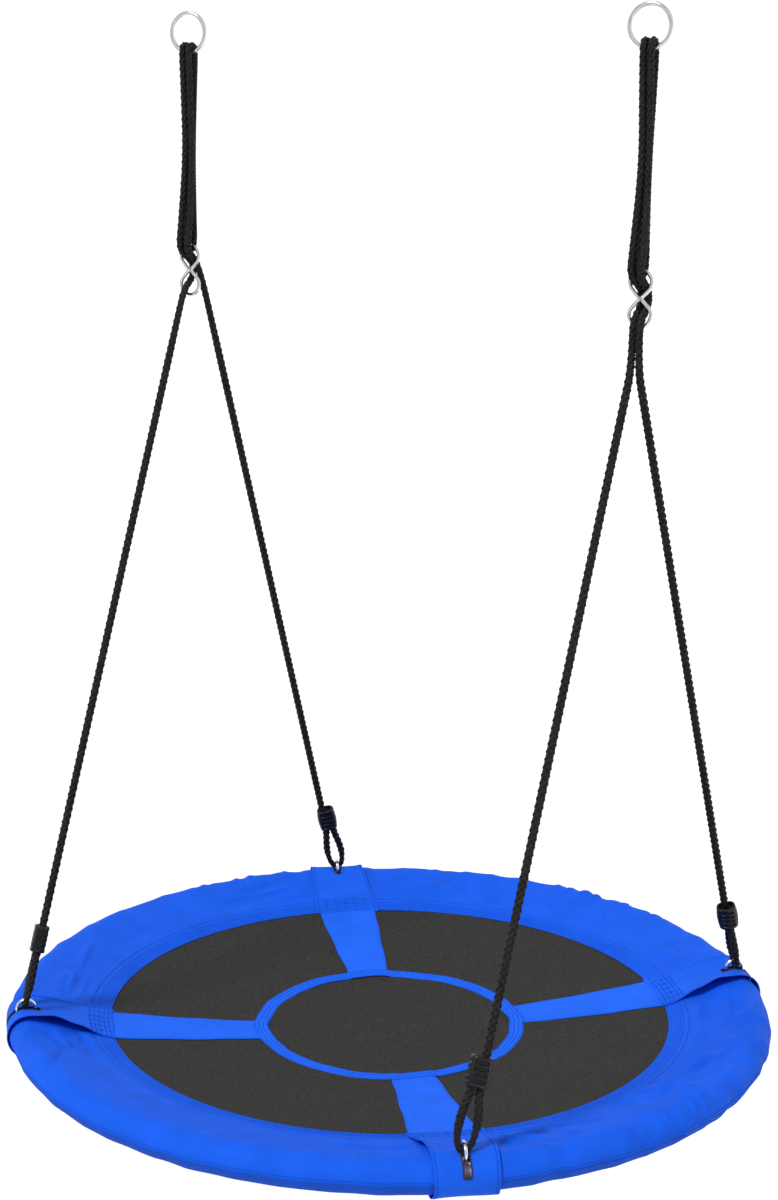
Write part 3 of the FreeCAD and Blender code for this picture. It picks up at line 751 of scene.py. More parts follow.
def over_cross(bearing):
    """1 where the round band lies over a cross band, 0 elsewhere."""
    return 1 - smooth_step(np.abs(nearest_eye(bearing)) * ROUND_MIDDLE, 0.030, 0.036)


def round_radius(bearing, share):
    """Radius of the round band, a share of its width from its inner edge. It isn't quite round:
    the sewing strays, and the cross bands pull."""
    sewing = 0.0009 * np.sin(5 * bearing + 0.7) + 0.0006 * np.sin(11 * bearing + 2.1)
    drawn = 0.0030 * bell(nearest_eye(bearing), -0.07, 0.11)
    wobble = sewing + 0.0004 * np.sin(19 * bearing) + drawn - 0.0008
    ripple = over_cross(bearing) * 0.0012 * np.sin(60 * bearing) * share
    return ROUND_INNER + (ROUND_OUTER - ROUND_INNER) * share + wobble + ripple


A, W = np.meshgrid(np.linspace(0, 2 * math.pi, 721), np.linspace(0, 1, 33), indexing="xy")
radius = round_radius(A, W)
crown = np.minimum(1.0, np.minimum(W, 1 - W) / 0.06) ** 0.5
height = 0.0004 + 0.0009 * crown + 0.0013 * over_cross(A)
for at in ROUND_STITCHES:
    height -= 0.0004 * bell(W, at, 0.035)
round_grid = mat_point(radius * np.cos(A), radius * np.sin(A), height)
round_uv = np.stack([A * ROUND_LAY, W * (ROUND_OUTER - ROUND_INNER)], axis=-1)
round_band = cloth(
    "round_webbing", "round_band", round_grid[:, :-1], round_uv, closed=True,
    thickness=0.0011)


def cross_width(rho):
    """Width of a cross band at a radius."""
    share = (rho - ROUND_OUTER) / (HEM_RADIUS - ROUND_OUTER)
    return CROSS_INNER_WIDTH + (CROSS_OUTER_WIDTH - CROSS_INNER_WIDTH) * share


def turn_about_z(points, angle):
    """Points turned about the swing's axis."""
    return points @ np.array(Matrix.Rotation(angle, 3, "Z")).T


CROSS_EDGE_ROW = 0.0028


def cross_band(name, angle):
    """A straight band of cloth from under the round band to under the hem."""
    rows = np.linspace(CROSS_START, CROSS_END, 76)
    across = np.concatenate([
        np.linspace(-1, -0.78, 14), np.linspace(-0.75, 0.75, 22), np.linspace(0.78, 1, 14)])
    R, T = np.meshgrid(rows, across, indexing="ij")
    half = cross_width(R) / 2
    edge = half * (1 - np.abs(T))
    wave = 0.0007 * np.sin(R * 70 + angle * 3 + np.sign(T)) * np.abs(T) ** 3
    y = T * half + wave
    x = np.sqrt(np.maximum(R ** 2 - y ** 2, 0))
    lift = 0.0005 + 0.0007 * np.minimum(1.0, edge / 0.0015) ** 0.5
    lift -= 0.0004 * bell(edge, CROSS_EDGE_ROW, 0.0011)
    lift += 0.0004 * np.sin(R * 45 + angle) * (1 - T ** 2)
    grid = turn_about_z(mat_point(x, y, lift), angle)
    return cloth(
        "cross_webbing_" + name, "cross_band_" + name, grid,
        np.stack([R, y], axis=-1), thickness=0.0009)


band_pieces = [round_band]
for name, degrees in EYE_ANGLES.items():
    band_pieces.append(cross_band(name, math.radians(degrees)))

# ---------------- anchor wraps

WRAP_INNER_WIDTH = 0.102
WRAP_OUTER_WIDTH = 0.082
WRAP_REST = 0.0019
SLIT_HALF = 0.0055
WRAP_EDGE_ROW = 0.0035
WRAP_GRID_ROWS = (0.004, 0.011, 0.018, 0.025, 0.032)


def wrap_width(rho):
    """Width of a wrap at a radius."""
    share = (rho - HEM_RADIUS) / (0.55 - HEM_RADIUS)
    return WRAP_INNER_WIDTH + (WRAP_OUTER_WIDTH - WRAP_INNER_WIDTH) * share


# How far each wrap's two edges stand off the cover: clockwise edge, then the other.
WRAP_EDGES = {
    "front_right": (0.0050, 0.0034),
    "back_right": (0.0066, 0.0040),
    "back_left": (0.0030, 0.0034),
    "front_left": (0.0036, 0.0066),
}

TENT_FROM = 0.0040
TENT_RISE = 3.2


def wrap_lift(name, s, tau):
    """How far a wrap stands off the cover, tau from -1 at its clockwise edge to 1."""
    edges = WRAP_EDGES[name]
    gap = np.where(tau < 0, edges[0], edges[1])
    over_rim = plateau(s, 0.055, 0.095, 0.110, 0.180)
    inside = plateau(s, 0.014, 0.054, 0.080, 0.128)
    tent = np.maximum(gap - TENT_FROM, 0) * TENT_RISE
    raised = gap * over_rim * np.abs(tau) ** 2.6 + tent * inside * np.abs(tau) ** 1.3
    below = 0.0016 * plateau(s, 0.150, 0.190, GIRTH - 0.07, GIRTH - 0.03)
    centre = 0.0008 * plateau(s, 0.03, 0.08, 0.20, 0.26)
    return WRAP_REST + raised + below * np.abs(tau) ** 2 + centre


def wrap_dents(s, rho, t):
    """Grooves of the stitch rows along a wrap's edges and in the box at its hem."""
    edge = wrap_width(rho) / 2 - np.abs(t)
    dent = -0.0004 * bell(edge, WRAP_EDGE_ROW, 0.0011)
    in_box = 1 - smooth_step(s, WRAP_GRID_ROWS[-1] + 0.001, WRAP_GRID_ROWS[-1] + 0.004)
    for at in WRAP_GRID_ROWS:
        dent -= 0.00045 * bell(s, at, 0.0011)
    for at in (0.010, 0.017, 0.024, 0.031):
        dent -= 0.0004 * in_box * bell(edge, at, 0.0011)
    return dent


def anchor_wrap(name, angle):
    """A patch of cloth sewn at the hem and taken round the rim, with its slit over the eye."""
    s_rows = rows_between([
        (-0.0025, 0.0009), (0.036, 0.0025), (GIRTH - 0.02, 0.002), (GIRTH, 0.002)])
    rho_s, z_s, _, _ = profile_at(s_rows)
    half_widths = wrap_width(rho_s) / 2
    side = np.concatenate([
        np.linspace(0, 0.62, 26, endpoint=False), np.linspace(0.62, 1, 24)])
    columns = []
    for h in half_widths:
        out = SLIT_HALF + side * (h - SLIT_HALF)
        columns.append(np.concatenate([-out[::-1], [-0.0028, 0.0, 0.0028], out]))
    T = np.array(columns)
    S = np.broadcast_to(s_rows[:, None], T.shape)
    rho = np.broadcast_to(rho_s[:, None], T.shape)
    tau = T / half_widths[:, None]
    hem_wave = 0.0012 * np.sin(T * 90 + angle) * (1 - smooth_step(S, 0.0, 0.012))
    lift = wrap_lift(name, S, tau) + wrap_dents(S, rho, T)
    lift -= 0.0009 * (1 - smooth_step(S, -0.0025, 0.0))
    lift += 0.0004 * np.sin(T * 60 + S * 35 + angle) * smooth_step(S, 0.04, 0.08) * (1 - tau ** 4)
    grid = strip_point(angle, S + hem_wave, T, lift)
    slit = (rho_s >= SLIT_START) & (z_s >= SLIT_END_HEIGHT) & (s_rows < SEAM_AT)
    mid_t = np.abs((T[:-1, :-1] + T[:-1, 1:]) / 2)
    hole = (slit[:-1] & slit[1:])[:, None] & (mid_t < SLIT_HALF)
    wrap = cloth(
        "anchor_patch_" + name, "anchor_wrap_" + name, grid,
        np.stack([T, S], axis=-1), hole=hole)
    slit_s = s_rows[slit]
    return wrap, float(slit_s[0]), float(slit_s[-1])


TAPE_HALF_WIDTH = 0.0011
TAPE_HALF_THICKNESS = 0.00099


def slit_tape(name, angle, start, end):
    """The black tape round a slit's edge."""
    corner = 0.0022
    s_half = (end - start) / 2
    s_middle = (start + end) / 2
    t_half = SLIT_HALF - 0.0002
    quarter = np.linspace(0, math.pi / 2, 6)
    path = []
    for number, (s_sign, t_sign) in enumerate(((1, 1), (-1, 1), (-1, -1), (1, -1))):
        turn = quarter + number * math.pi / 2
        path.append(np.stack([
            s_middle + s_sign * (s_half - corner) + corner * np.cos(turn),
            t_sign * (t_half - corner) + corner * np.sin(turn)], axis=-1))
    path = np.concatenate(path)
    loop, _ = even_steps(np.vstack([path, path[:1]]), 0.0015)
    s_line, t_line = loop[:-1, 0], loop[:-1, 1]
    lift = wrap_lift(name, s_line, t_line / (wrap_width(profile_at(s_line)[0]) / 2))
    line = strip_point(angle, s_line, t_line, lift - 0.0003)
    above = strip_point(angle, s_line, t_line, lift + 0.001)
    tube = oval_tube(line, above - line, TAPE_HALF_WIDTH, TAPE_HALF_THICKNESS, closed=True)
    tape = new_object("slit_tape_" + name, *tube)
    stand_in(tape, "seat", "slit_binding_" + name)
    return tape


wraps = {}
tapes = {}
for name, degrees in EYE_ANGLES.items():
    wraps[name], slit_from, slit_to = anchor_wrap(name, math.radians(degrees))
    tapes[name] = slit_tape(name, math.radians(degrees), slit_from, slit_to)

# ---------------- stitches

STITCH_LENGTH = 0.0040
STITCH_PITCH = 0.0046
STITCH_RADIUS = 0.00052


def stitches(name, rows):
    """Rows of short sewn stitches. Each row is its points and points just above them."""
    centres, alongs, normals = [], [], []
    for points, above in rows:
        run = run_along(points)
        count = int(run[-1] / STITCH_PITCH)
        at = (np.arange(count) + 0.5) * run[-1] / count
        centre = points_at(points, run, at)
        centres.append(centre)
        alongs.append(unit(
            points_at(points, run, at + 0.0008) - points_at(points, run, at - 0.0008)))
        normals.append(unit(points_at(above, run, at) - centre))
    centre, along, normal = (np.concatenate(part) for part in (centres, alongs, normals))
    side = np.cross(along, normal)
    place = np.array([-1.0, -0.86, -0.4, 0.4, 0.86, 1.0]) * STITCH_LENGTH / 2
    rise = np.array([-0.00045, -0.00005, 0.00022, 0.00022, -0.00005, -0.00045])
    thick = np.array([0.45, 0.85, 1.0, 1.0, 0.85, 0.45]) * STITCH_RADIUS
    turn = full_turn(6)
    spine = (
        centre[:, None] + along[:, None] * place[None, :, None]
        + normal[:, None] * rise[None, :, None])
    ring = (
        side[:, None, None] * np.cos(turn)[None, None, :, None]
        + normal[:, None, None] * np.sin(turn)[None, None, :, None])
    sections = spine[:, :, None] + ring * thick[None, :, None, None]
    one_v, one_q = loft(sections[0])
    offsets = np.arange(len(sections))[:, None, None] * len(one_v)
    obj = new_object(name, sections.reshape(-1, 3), (one_q[None] + offsets).reshape(-1, 4))
    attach(obj, "seat")
    return obj


def cover_row(s):
    """A row of stitches round the cover, left out where the wraps lie."""
    bearing = np.linspace(0, 2 * math.pi, 1441)
    lift = cover_lift(bearing, np.full_like(bearing, s))
    rho = profile_at(s)[0]
    free = np.abs(nearest_eye(bearing)) * rho > float(wrap_width(rho)) / 2
    first = np.flatnonzero(np.diff(free.astype(int)) > 0)[0] + 1
    order = np.roll(np.arange(1440), -first)
    stretches = np.split(order, np.flatnonzero(np.diff(free[order].astype(int))) + 1)
    return [
        (rim_point(bearing[r], s, lift[r]), rim_point(bearing[r], s, lift[r] + 0.001))
        for r in stretches if free[r[0]] and len(r) > 8
    ]


def mat_row(x, y, height):
    """A row of stitches over the mat at a height above it."""
    return mat_point(x, y, height), mat_point(x, y, height + 0.001)


def wrap_row(name, s, t):
    """A row of stitches on an anchor wrap."""
    s, t = np.broadcast_arrays(np.asarray(s, dtype=float), np.asarray(t, dtype=float))
    rho = profile_at(s)[0]
    lift = wrap_lift(name, s, t / (wrap_width(rho) / 2)) + wrap_dents(s, rho, t)
    angle = math.radians(EYE_ANGLES[name])
    return strip_point(angle, s, t, lift), strip_point(angle, s, t, lift + 0.001)


cover_rows_sewn = []
for s in (*HEM_ROWS, SEAM_AT - 0.0045, GIRTH - 0.0110, GIRTH - 0.0045):
    cover_rows_sewn += cover_row(s)
rim_stitching = stitches("rim_stitching", cover_rows_sewn)

around = np.linspace(0, 2 * math.pi, 721)
round_rows = []
for at in ROUND_STITCHES:
    radius = round_radius(around, at)
    round_rows.append(mat_row(
        radius * np.cos(around), radius * np.sin(around), 0.0009 + 0.0013 * over_cross(around)))
cross_rows = []
for degrees in EYE_ANGLES.values():
    angle = math.radians(degrees)
    rho = np.linspace(ROUND_OUTER + 0.003, HEM_RADIUS - 0.001, 90)
    half = cross_width(rho) / 2
    out = 1 - CROSS_EDGE_ROW / half
    for sign in (-1, 1):
        y = sign * (half - CROSS_EDGE_ROW)
        y = y + 0.0007 * np.sin(rho * 70 + angle * 3 + sign) * out ** 3
        lift = 0.0008 + 0.0004 * np.sin(rho * 45 + angle) * (1 - out ** 2)
        row = mat_row(np.sqrt(rho ** 2 - y ** 2), y, lift)
        cross_rows.append([turn_about_z(points, angle) for points in row])
round_stitching = stitches("round_stitching", round_rows)
cross_stitching = stitches("cross_stitching", cross_rows)

wrap_stitching = {}
for name in EYE_ANGLES:
    rows = []
    for s in WRAP_GRID_ROWS:
        half = float(wrap_width(profile_at(s)[0])) / 2 - WRAP_EDGE_ROW
        rows.append(wrap_row(name, s, np.linspace(-half, half, 60)))
    for share in (-0.62, -0.31, 0.0, 0.31, 0.62):
        rows.append(wrap_row(name, np.linspace(0.003, 0.033, 30), share * 0.051))
    s = np.linspace(0.003, GIRTH - 0.02, 240)
    half = wrap_width(profile_at(s)[0]) / 2 - WRAP_EDGE_ROW
    rows += [wrap_row(name, s, -half), wrap_row(name, s, half)]
    wrap_stitching[name] = stitches("patch_stitching_" + name, rows)

# ---------------- foam under the cover

FOAM_RADIUS = 0.0200
FOAM_BORE = 0.0134
FOAM_GAP_ANGLE = 0.015 / RIM_CENTRE_RADIUS


def foam_sleeve(name, middle):
    """A quarter of the rim's foam, a thick soft tube with cut ends."""
    start = middle - math.pi / 4 + FOAM_GAP_ANGLE
    end = middle + math.pi / 4 - FOAM_GAP_ANGLE
    bearing = np.linspace(start, end, 120)
    turn = full_turn(24)
    B, T = np.meshgrid(bearing, turn, indexing="ij")
    outer = FOAM_RADIUS - 0.0004 + 0.0004 * np.sin(B * 37 + T * 2) * np.sin(B * 11)
    sections = []
    for radius in (outer, np.full_like(outer, FOAM_BORE)):
        r = RIM_CENTRE_RADIUS + radius * np.cos(T)
        sections.append(np.stack(
            [r * np.cos(B), r * np.sin(B), RIM_HEIGHT + radius * np.sin(T)], axis=-1))
    v, q = loft(np.concatenate([sections[0], sections[1][::-1]]), closed=True)
    sleeve = new_object("foam_tube_" + name, v, q[:, ::-1])
    stand_in(sleeve, "seat", "foam_sleeve_" + name)
    return sleeve


foam = [
    foam_sleeve(name, math.radians(degrees))
    for name, degrees in (("right", 0), ("back", 90), ("left", 180), ("front", 270))
]

# ---------------- rope ferrules

FERRULE_HALF_WIDTH = 0.0154
FERRULE_HALF_THICKNESS = 0.0108
# How far each ferrule is turned about its leg.
FERRULE_TURNS = {"front_right": 0, "back_right": 78, "back_left": 0, "front_left": 0}
SLOT_PITCH = 0.0076
SLOT_HEIGHT = 0.0040
SLOT_DEPTH = 0.0027


def soft_box(x, half, edge):
    """1 inside half of the middle, 0 outside, with an edge of that width."""
    return 1 - smooth_step(np.abs(x), half - edge / 2, half + edge / 2)


def ferrule(name):
    """A moulded block round the leg's two strands: four smooth corners, deep slots between."""
    anchor, up, across, _ = leg_frame(name)
    turned = Matrix.Rotation(math.radians(FERRULE_TURNS[name]), 3, up)
    u = np.array(turned @ across)
    w = np.array(up)
    v = np.cross(w, u)
    foot = np.array(anchor) + w * FERRULE_FOOT
    phi = full_turn(180)
    cos, sin = np.cos(phi), np.sin(phi)
    power = 2 / 2.6
    x0 = np.sign(cos) * np.abs(cos) ** power
    y0 = np.sign(sin) * np.abs(sin) ** power
    top = FERRULE_LENGTH
    mouth = [(0.0, 0.0022, share) for share in (0.03, 0.4, 0.8)]
    for q in np.linspace(0.1, 1, 4) * math.pi / 2:
        mouth.append((0.0016 * (1 - math.cos(q)), 0.0018 * (1 - math.sin(q)), 1.0))
    lip = []
    for q in np.linspace(0, 1, 5)[1:] * math.pi / 2:
        lip.append((top - 0.0012 + 0.0012 * math.sin(q), 0.0012 * (1 - math.cos(q)), 1.0))
    for q in np.linspace(0, 1, 4)[1:] * math.pi / 2:
        lip.append((top - 0.001 * (1 - math.cos(q)), 0.0020 + 0.001 * math.sin(q), 1.0))
    lip.append((top - 0.0048, 0.0034, 1.0))
    lip += [(top - 0.0058, 0.0036, share) for share in (0.92, 0.5, 0.03)]

    def ring(height, inset, scale, slotted=False):
        from_middle = ((height - top / 2) / (top / 2)) ** 2
        x = (FERRULE_HALF_WIDTH * (1 - 0.12 * from_middle) - inset) * scale * x0
        y = (FERRULE_HALF_THICKNESS * (1 - 0.02 * from_middle) - inset) * scale * y0
        if slotted:
            depth = sum(
                soft_box(height - top / 2 - (k - 1.5) * SLOT_PITCH, SLOT_HEIGHT / 2, 0.0009)
                for k in range(4))
            wide_face = soft_box(x, 0.0088, 0.0012) * (np.abs(y0) > 0.5)
            narrow_face = soft_box(y, 0.0056, 0.0012) * (np.abs(x0) > 0.5)
            y = y - np.sign(y) * SLOT_DEPTH * depth * wide_face
            x = x - np.sign(x) * SLOT_DEPTH * 0.85 * depth * narrow_face
        return foot + x[:, None] * u + y[:, None] * v + height * w

    rows = [ring(*section) for section in mouth]
    rows += [ring(h, 0.0, 1.0, True) for h in np.linspace(0.0012, top - 0.0012, 96)[2:-2]]
    rows += [ring(*section) for section in lip]
    block = new_object("moulded_ferrule_" + name, *loft(np.array(rows)))
    body = "legs_" + name.split("_")[1]
    stand_in(block, body, "rope_ferrule_" + name)
    return block


ferrules = [ferrule(name) for name in EYE_ANGLES]

# ---------------- hanging rings

WELD_BEARING = math.radians(-62)


def hanging_ring(side):
    """A welded ring of round wire, standing in the two bights."""
    A, T = np.meshgrid(full_turn(160), full_turn(32), indexing="ij")
    radius = HANG_WIRE_RADIUS * (1 + 0.06 * bell(past(A, WELD_BEARING), 0.0, 0.05))
    reach = HANG_RING_RADIUS + radius * np.cos(T)
    upright = np.stack([reach * np.cos(A), radius * np.sin(T), reach * np.sin(A)], axis=-1)
    points = turn_about_z(upright, RING_TURNS[side])
    low, high = (Vector(corner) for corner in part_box("hang_ring_" + side))
    v, q = loft(points + np.array((low + high) / 2), closed=True)
    ring = new_object("welded_ring_" + side, v, q[:, ::-1])
    stand_in(ring, "hanger", "hang_ring_" + side)
    return ring


rings = [hanging_ring(side) for side in SIDES]

# ---------------- materials


def linear(*values):
    """Linear colour from 0 to 255 values on the display."""
    out = []
    for value in values:
        c = value / 255
        out.append(c / 12.92 if c <= 0.04045 else ((c + 0.055) / 1.055) ** 2.4)
    return (*out, 1.0)


# The wave texture's bands are this far apart at scale 1.
WAVE_LENGTH = 0.314159


class Shader:
    """A material with one principled shader, and short ways to add nodes to it."""

    def __init__(self, name, color, roughness, metallic=0.0, **more):
        self.material = bpy.data.materials.new(name)
        self.material.use_nodes = True
        self.tree = self.material.node_tree
        self.shader = self.tree.nodes["Principled BSDF"]
        self.set("Base Color", color)
        self.set("Roughness", roughness)
        self.set("Metallic", metallic)
        for socket, value in more.items():
            self.set(socket.replace("_", " "), value)

    def set(self, socket, value):
        self.shader.inputs[socket].default_value = value

    def node(self, kind, **settings):
        node = self.tree.nodes.new(kind)
        for key, value in settings.items():
            if key in node.inputs:
                node.inputs[key].default_value = value
            else:
                setattr(node, key, value)
        return node

    def link(self, a, b):
        self.tree.links.new(a, b)

    def place(self, uv=None, scale=(1, 1, 1)):
        """Coordinates in metres, from the cloth's own lay or from the object."""
        mapping = self.node("ShaderNodeMapping")
        mapping.inputs["Scale"].default_value = scale
        if uv:
            source = self.node("ShaderNodeUVMap", uv_map=uv).outputs["UV"]
        else:
            source = self.node("ShaderNodeTexCoord").outputs["Object"]
        self.link(source, mapping.inputs["Vector"])
        return mapping.outputs["Vector"]

    def noise(self, scale, detail, stretch=(1, 1, 1)):
        """Noise in the object's space."""
        node = self.node("ShaderNodeTexNoise", Scale=scale, Detail=detail)
        self.link(self.place(scale=stretch), node.inputs["Vector"])
        return node.outputs["Fac"]

    def weave(self, vector, pitch):
        """Warp and weft, as two crossing rows of bands."""
        bands = []
        for direction in "XY":
            node = self.node("ShaderNodeTexWave", bands_direction=direction)
            node.inputs["Scale"].default_value = WAVE_LENGTH / pitch
            self.link(vector, node.inputs["Vector"])
            bands.append(node.outputs["Fac"])
        return self.math("MULTIPLY", *bands)

    def math(self, operation, a, b):
        node = self.node("ShaderNodeMath", operation=operation)
        for socket, value in zip(node.inputs, (a, b)):
            if isinstance(value, float):
                socket.default_value = value
            else:
                self.link(value, socket)
        return node.outputs["Value"]

    def blend(self, a, b, share):
        """A sum that is a share of the first and the rest of the second."""
        rest = round(1 - share, 2)
        return self.math(
            "ADD", self.math("MULTIPLY", a, share), self.math("MULTIPLY", b, rest))

    def ramp(self, factor, *stops, to="Base Color"):
        """A colour ramp from (position, colour) stops into a socket of the shader."""
        node = self.node("ShaderNodeValToRGB")
        elements = node.color_ramp.elements
        while len(elements) < len(stops):
            elements.new(0.5)
        for element, (position, color) in zip(elements, stops):
            element.position = position
            element.color = color
        self.link(factor, node.inputs["Fac"])
        self.link(node.outputs["Color"], self.shader.inputs[to])
        return node.outputs["Color"]

    def bump(self, height, strength, distance):
        node = self.node("ShaderNodeBump", Strength=strength, Distance=distance)
        self.link(height, node.inputs["Height"])
        self.link(node.outputs["Normal"], self.shader.inputs["Normal"])


def shade(color, factor):
    """A colour made lighter or darker."""
    return tuple(min(1.0, c * factor) for c in color[:3]) + (1.0,)


def grey(level):
    """A linear grey."""
    return (level, level, level, 1.0)


# The cover is painted a little darker below its seam: painted shade for the lower panel, which
# faces down.
PAINTED_SHADE_BELOW_SEAM = (0.72, 0.74, 0.74, 1.0)


def cloth_material(name, color, weave_pitch, seam=None):
    """Plain-woven nylon: a fine weave, faint uneven dye and wear, and, when a seam is given,
    painted shade below it.
    """
    s = Shader(name, color, 0.7, Specular_IOR_Level=0.08)
    lay = s.place("cloth")
    weave = s.weave(lay, weave_pitch)
    cloud = s.noise(22.0, 4.0)
    grain = s.noise(420.0, 2.0)
    mixed = s.blend(cloud, grain, 0.62)
    dyed = s.ramp(mixed, (0.32, shade(color, 0.88)), (0.52, color), (0.70, shade(color, 1.10)))
    # Painted shade: below the seam the colour is multiplied darker, as if the lower panel lay in
    # shade.
    if seam:
        height = s.node("ShaderNodeSeparateXYZ")
        s.link(lay, height.inputs["Vector"])
        under = s.math("GREATER_THAN", height.outputs["Y"], seam)
        facing = s.node("ShaderNodeMix", data_type="RGBA", blend_type="MULTIPLY")
        s.link(under, facing.inputs["Factor"])
        mix_a, mix_b = (i for i in facing.inputs if i.type == "RGBA")
        s.link(dyed, mix_a)
        mix_b.default_value = PAINTED_SHADE_BELOW_SEAM
        result = next(o for o in facing.outputs if o.type == "RGBA")
        s.link(result, s.shader.inputs["Base Color"])
    s.bump(s.blend(weave, grain, 0.6), 0.5, 0.0004)
    return s.material


BLUE = (0.0074, 0.099, 0.735, 1.0)
PATCH_BLUE = (0.0084, 0.106, 0.770, 1.0)
BAND_BLUE = (0.0110, 0.124, 0.850, 1.0)
cover_cloth = cloth_material("cover_nylon", BLUE, 0.0011, seam=float(SEAM_AT))
wrap_cloth = cloth_material("patch_nylon", PATCH_BLUE, 0.0011)
band_cloth = cloth_material("band_nylon", BAND_BLUE, 0.0013)


def thread_material(name, dark, light):
    """Sewing thread, a darker blue than the cloth, uneven along its length."""
    s = Shader(name, shade(BLUE, (dark + light) / 2), 0.8, Specular_IOR_Level=0.0)
    s.ramp(s.noise(900.0, 3.0), (0.35, shade(BLUE, dark)), (0.65, shade(BLUE, light)))
    return s.material


rim_thread = thread_material("rim_thread", 0.70, 0.90)
patch_thread = thread_material("patch_thread", 0.58, 0.80)

MAT_WEAVE_PITCH = 0.0022
mat_shader = Shader("mat_mesh_weave", linear(60, 59, 58), 0.85, Specular_IOR_Level=0.06)
weave = mat_shader.weave(mat_shader.place("cloth"), MAT_WEAVE_PITCH)
speck = mat_shader.noise(260.0, 3.0)
mixed = mat_shader.blend(weave, speck, 0.45)
mat_shader.ramp(mixed, (0.2, linear(38, 38, 37)), (0.75, linear(71, 70, 69)))
mat_shader.bump(mixed, 0.5, 0.0005)


def grained(name, color, roughness, grain, low, high, strength, distance, **more):
    """A material that varies in fine grains, in colour and in height."""
    s = Shader(name, color, roughness, **more)
    grains = s.noise(*grain)
    s.ramp(grains, (0.3, low), (0.7, high))
    s.bump(grains, strength, distance)
    return s.material


binding = grained(
    "tape_black", grey(0.012), 0.7, (700.0, 2.0), grey(0.008), grey(0.02), 0.4, 0.0003)
plastic = grained(
    "moulded_black", linear(22, 22, 23), 0.32, (900.0, 2.0), linear(13, 13, 14),
    linear(21, 21, 22), 0.25, 0.0002, Specular_IOR_Level=0.34)
foam_open = grained(
    "foam_open", linear(215, 216, 217), 0.9, (500.0, 4.0), linear(190, 191, 193),
    linear(228, 228, 229), 0.6, 0.001)

rope_shader = Shader(
    "rope_polyester", linear(28, 27, 27), 0.6, Specular_IOR_Level=0.22)
fibres = rope_shader.noise(1500.0, 3.0, (1, 1, 0.35))
dust = rope_shader.noise(35.0, 3.0)
tone = rope_shader.blend(fibres, dust, 0.6)
rope_shader.ramp(
    tone, (0.3, linear(16, 16, 16)), (0.55, linear(28, 27, 27)), (0.75, linear(43, 41, 40)))
rope_shader.bump(fibres, 0.6, 0.0004)


def metal(name, color, roughness, scratch):
    """Bright or brushed metal with faint uneven polish."""
    s = Shader(name, color, roughness, 1.0)
    smear = s.noise(160.0, 4.0)
    s.ramp(smear, (0.3, shade(color, 0.94)), (0.7, shade(color, 1.04)))
    s.ramp(smear, (0.3, grey(roughness * 0.8)), (0.7, grey(roughness * 1.3)), to="Roughness")
    s.bump(smear, scratch, 0.0002)
    return s.material


chrome = metal("plated_wire", grey(0.76), 0.22, 0.06)
eye_chrome = metal("plated_eye", grey(0.80), 0.18, 0.06)
# Painted light: the steel tube gets a light lilac non-metal colour, lighter than its steel, so it
# looks lit inside the dark slits.
tube_painted_light_shader = Shader("tube_painted_light", (0.70, 0.66, 0.92, 1.0), 0.42, 0.0)
smear = tube_painted_light_shader.noise(160.0, 4.0)
tube_painted_light_shader.ramp(smear, (0.3, (0.66, 0.62, 0.88, 1.0)), (0.7, (0.74, 0.70, 0.96, 1.0)))


def dress(objects, material):
    """One material on every one of the objects."""
    for obj in objects:
        obj.data.materials.clear()
        obj.data.materials.append(material)
        obj.data.polygons.foreach_set("material_index", [0] * len(obj.data.polygons))


dress([rim_cover], cover_cloth)
dress(wraps.values(), wrap_cloth)
dress(band_pieces, band_cloth)
dress([rim_stitching], rim_thread)
dress([round_stitching, *wrap_stitching.values()], patch_thread)
dress([cross_stitching], band_cloth)
dress([mat], mat_shader.material)
dress(tapes.values(), binding)
dress(ropes, rope_shader.material)
dress(ferrules, plastic)
dress(foam, foam_open)
dress(rings, chrome)
for node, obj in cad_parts.items():
    if node.startswith("adjuster_link"):
        dress([obj], chrome)
    elif node.startswith("frame_eye"):
        dress([obj], eye_chrome)
    elif node.startswith(("frame_tube", "tube_spigot")):
        dress([obj], tube_painted_light_shader.material)

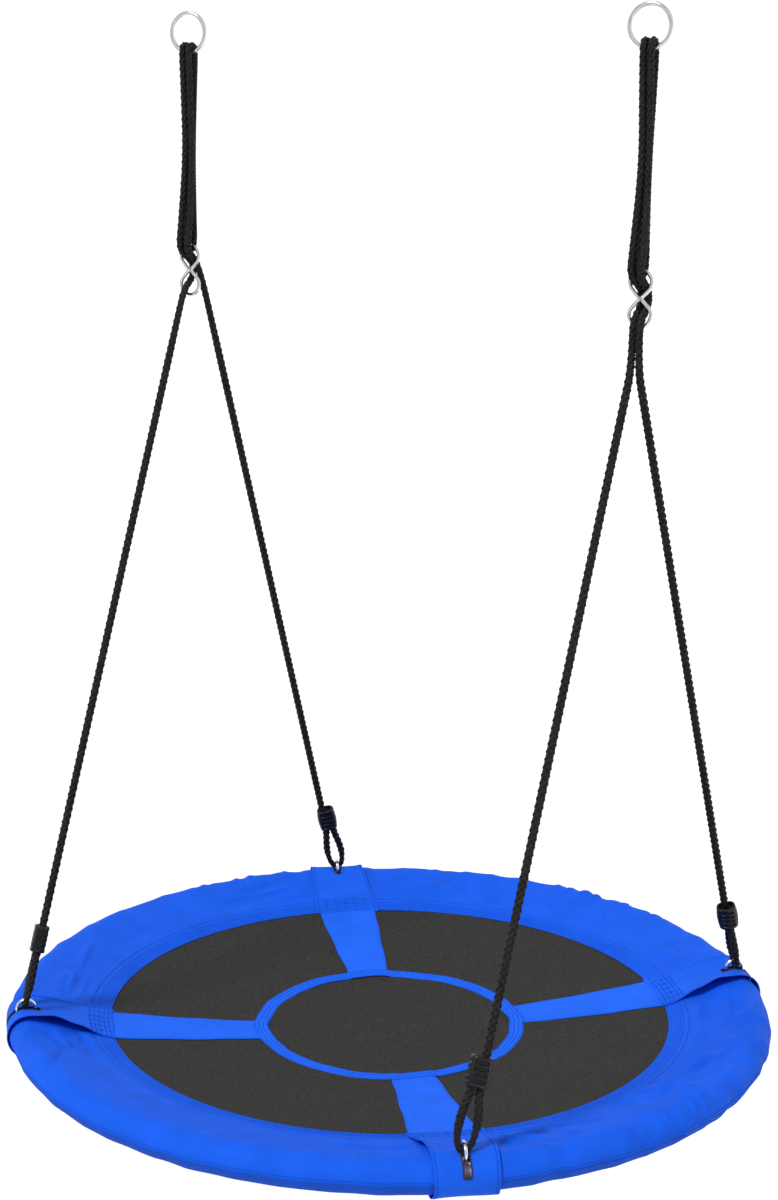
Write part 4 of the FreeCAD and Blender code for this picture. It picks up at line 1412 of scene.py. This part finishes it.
# ---------------- floor and light

FLOOR_HEIGHT = -1.10
SWEEP_RADIUS = 8.5
SWEEP_BEND = 2.5
SWEEP_HEIGHT = 8.0
SWEEP_SIDES = 96
sweep = [(0.02, 0.0), (1.5, 0.0), (3.5, 0.0), (SWEEP_RADIUS, 0.0)]
for share in np.linspace(0, 1, 13)[1:]:
    bend = share * math.pi / 2
    sweep.append((
        SWEEP_RADIUS + SWEEP_BEND * math.sin(bend), SWEEP_BEND * (1 - math.cos(bend))))
sweep.append((SWEEP_RADIUS + SWEEP_BEND, SWEEP_HEIGHT))
turn = full_turn(SWEEP_SIDES)
sections = np.array([
    np.stack([reach * np.cos(turn), reach * np.sin(turn), 0 * turn + FLOOR_HEIGHT + up], axis=-1)
    for reach, up in sweep])
floor_vertices, floor_quads = loft(sections)
# Without the cap that loft puts over the open top.
floor = new_object("paper_sweep", floor_vertices, floor_quads[:-(SWEEP_SIDES // 2 - 1)])
paper = Shader("sweep_paper", grey(0.93), 0.95, Specular_IOR_Level=0.0)
dress([floor], paper.material)

WORLD_STRENGTH = 0.50
world = bpy.data.worlds.new("studio")
world.use_nodes = True
background = world.node_tree.nodes["Background"]
background.inputs["Strength"].default_value = WORLD_STRENGTH
background.inputs["Color"].default_value = (1.0, 1.0, 1.0, 1.0)
bpy.context.scene.world = world


def soft_sun(name, toward, spread, strength):
    """A large distant soft light that shines along a direction."""
    data = bpy.data.lights.new(name, "SUN")
    data.angle = math.radians(spread)
    data.energy = strength
    lamp = add_object(name, data)
    lamp.rotation_euler = Vector(toward).to_track_quat("-Z", "Y").to_euler()


ahead = Vector((math.sin(CAMERA_AZIMUTH), math.cos(CAMERA_AZIMUTH), 0))
aside = Vector((ahead.y, -ahead.x, 0))
soft_sun("key", ahead * 0.62 + aside * 0.70 + Vector((0, 0, -1.20)), 12, 2.25)
soft_sun("fill", ahead * 0.9 - aside * 0.5 + Vector((0, 0, -0.5)), 60, 0.35)

bpy.context.scene.view_settings.view_transform = "Standard"
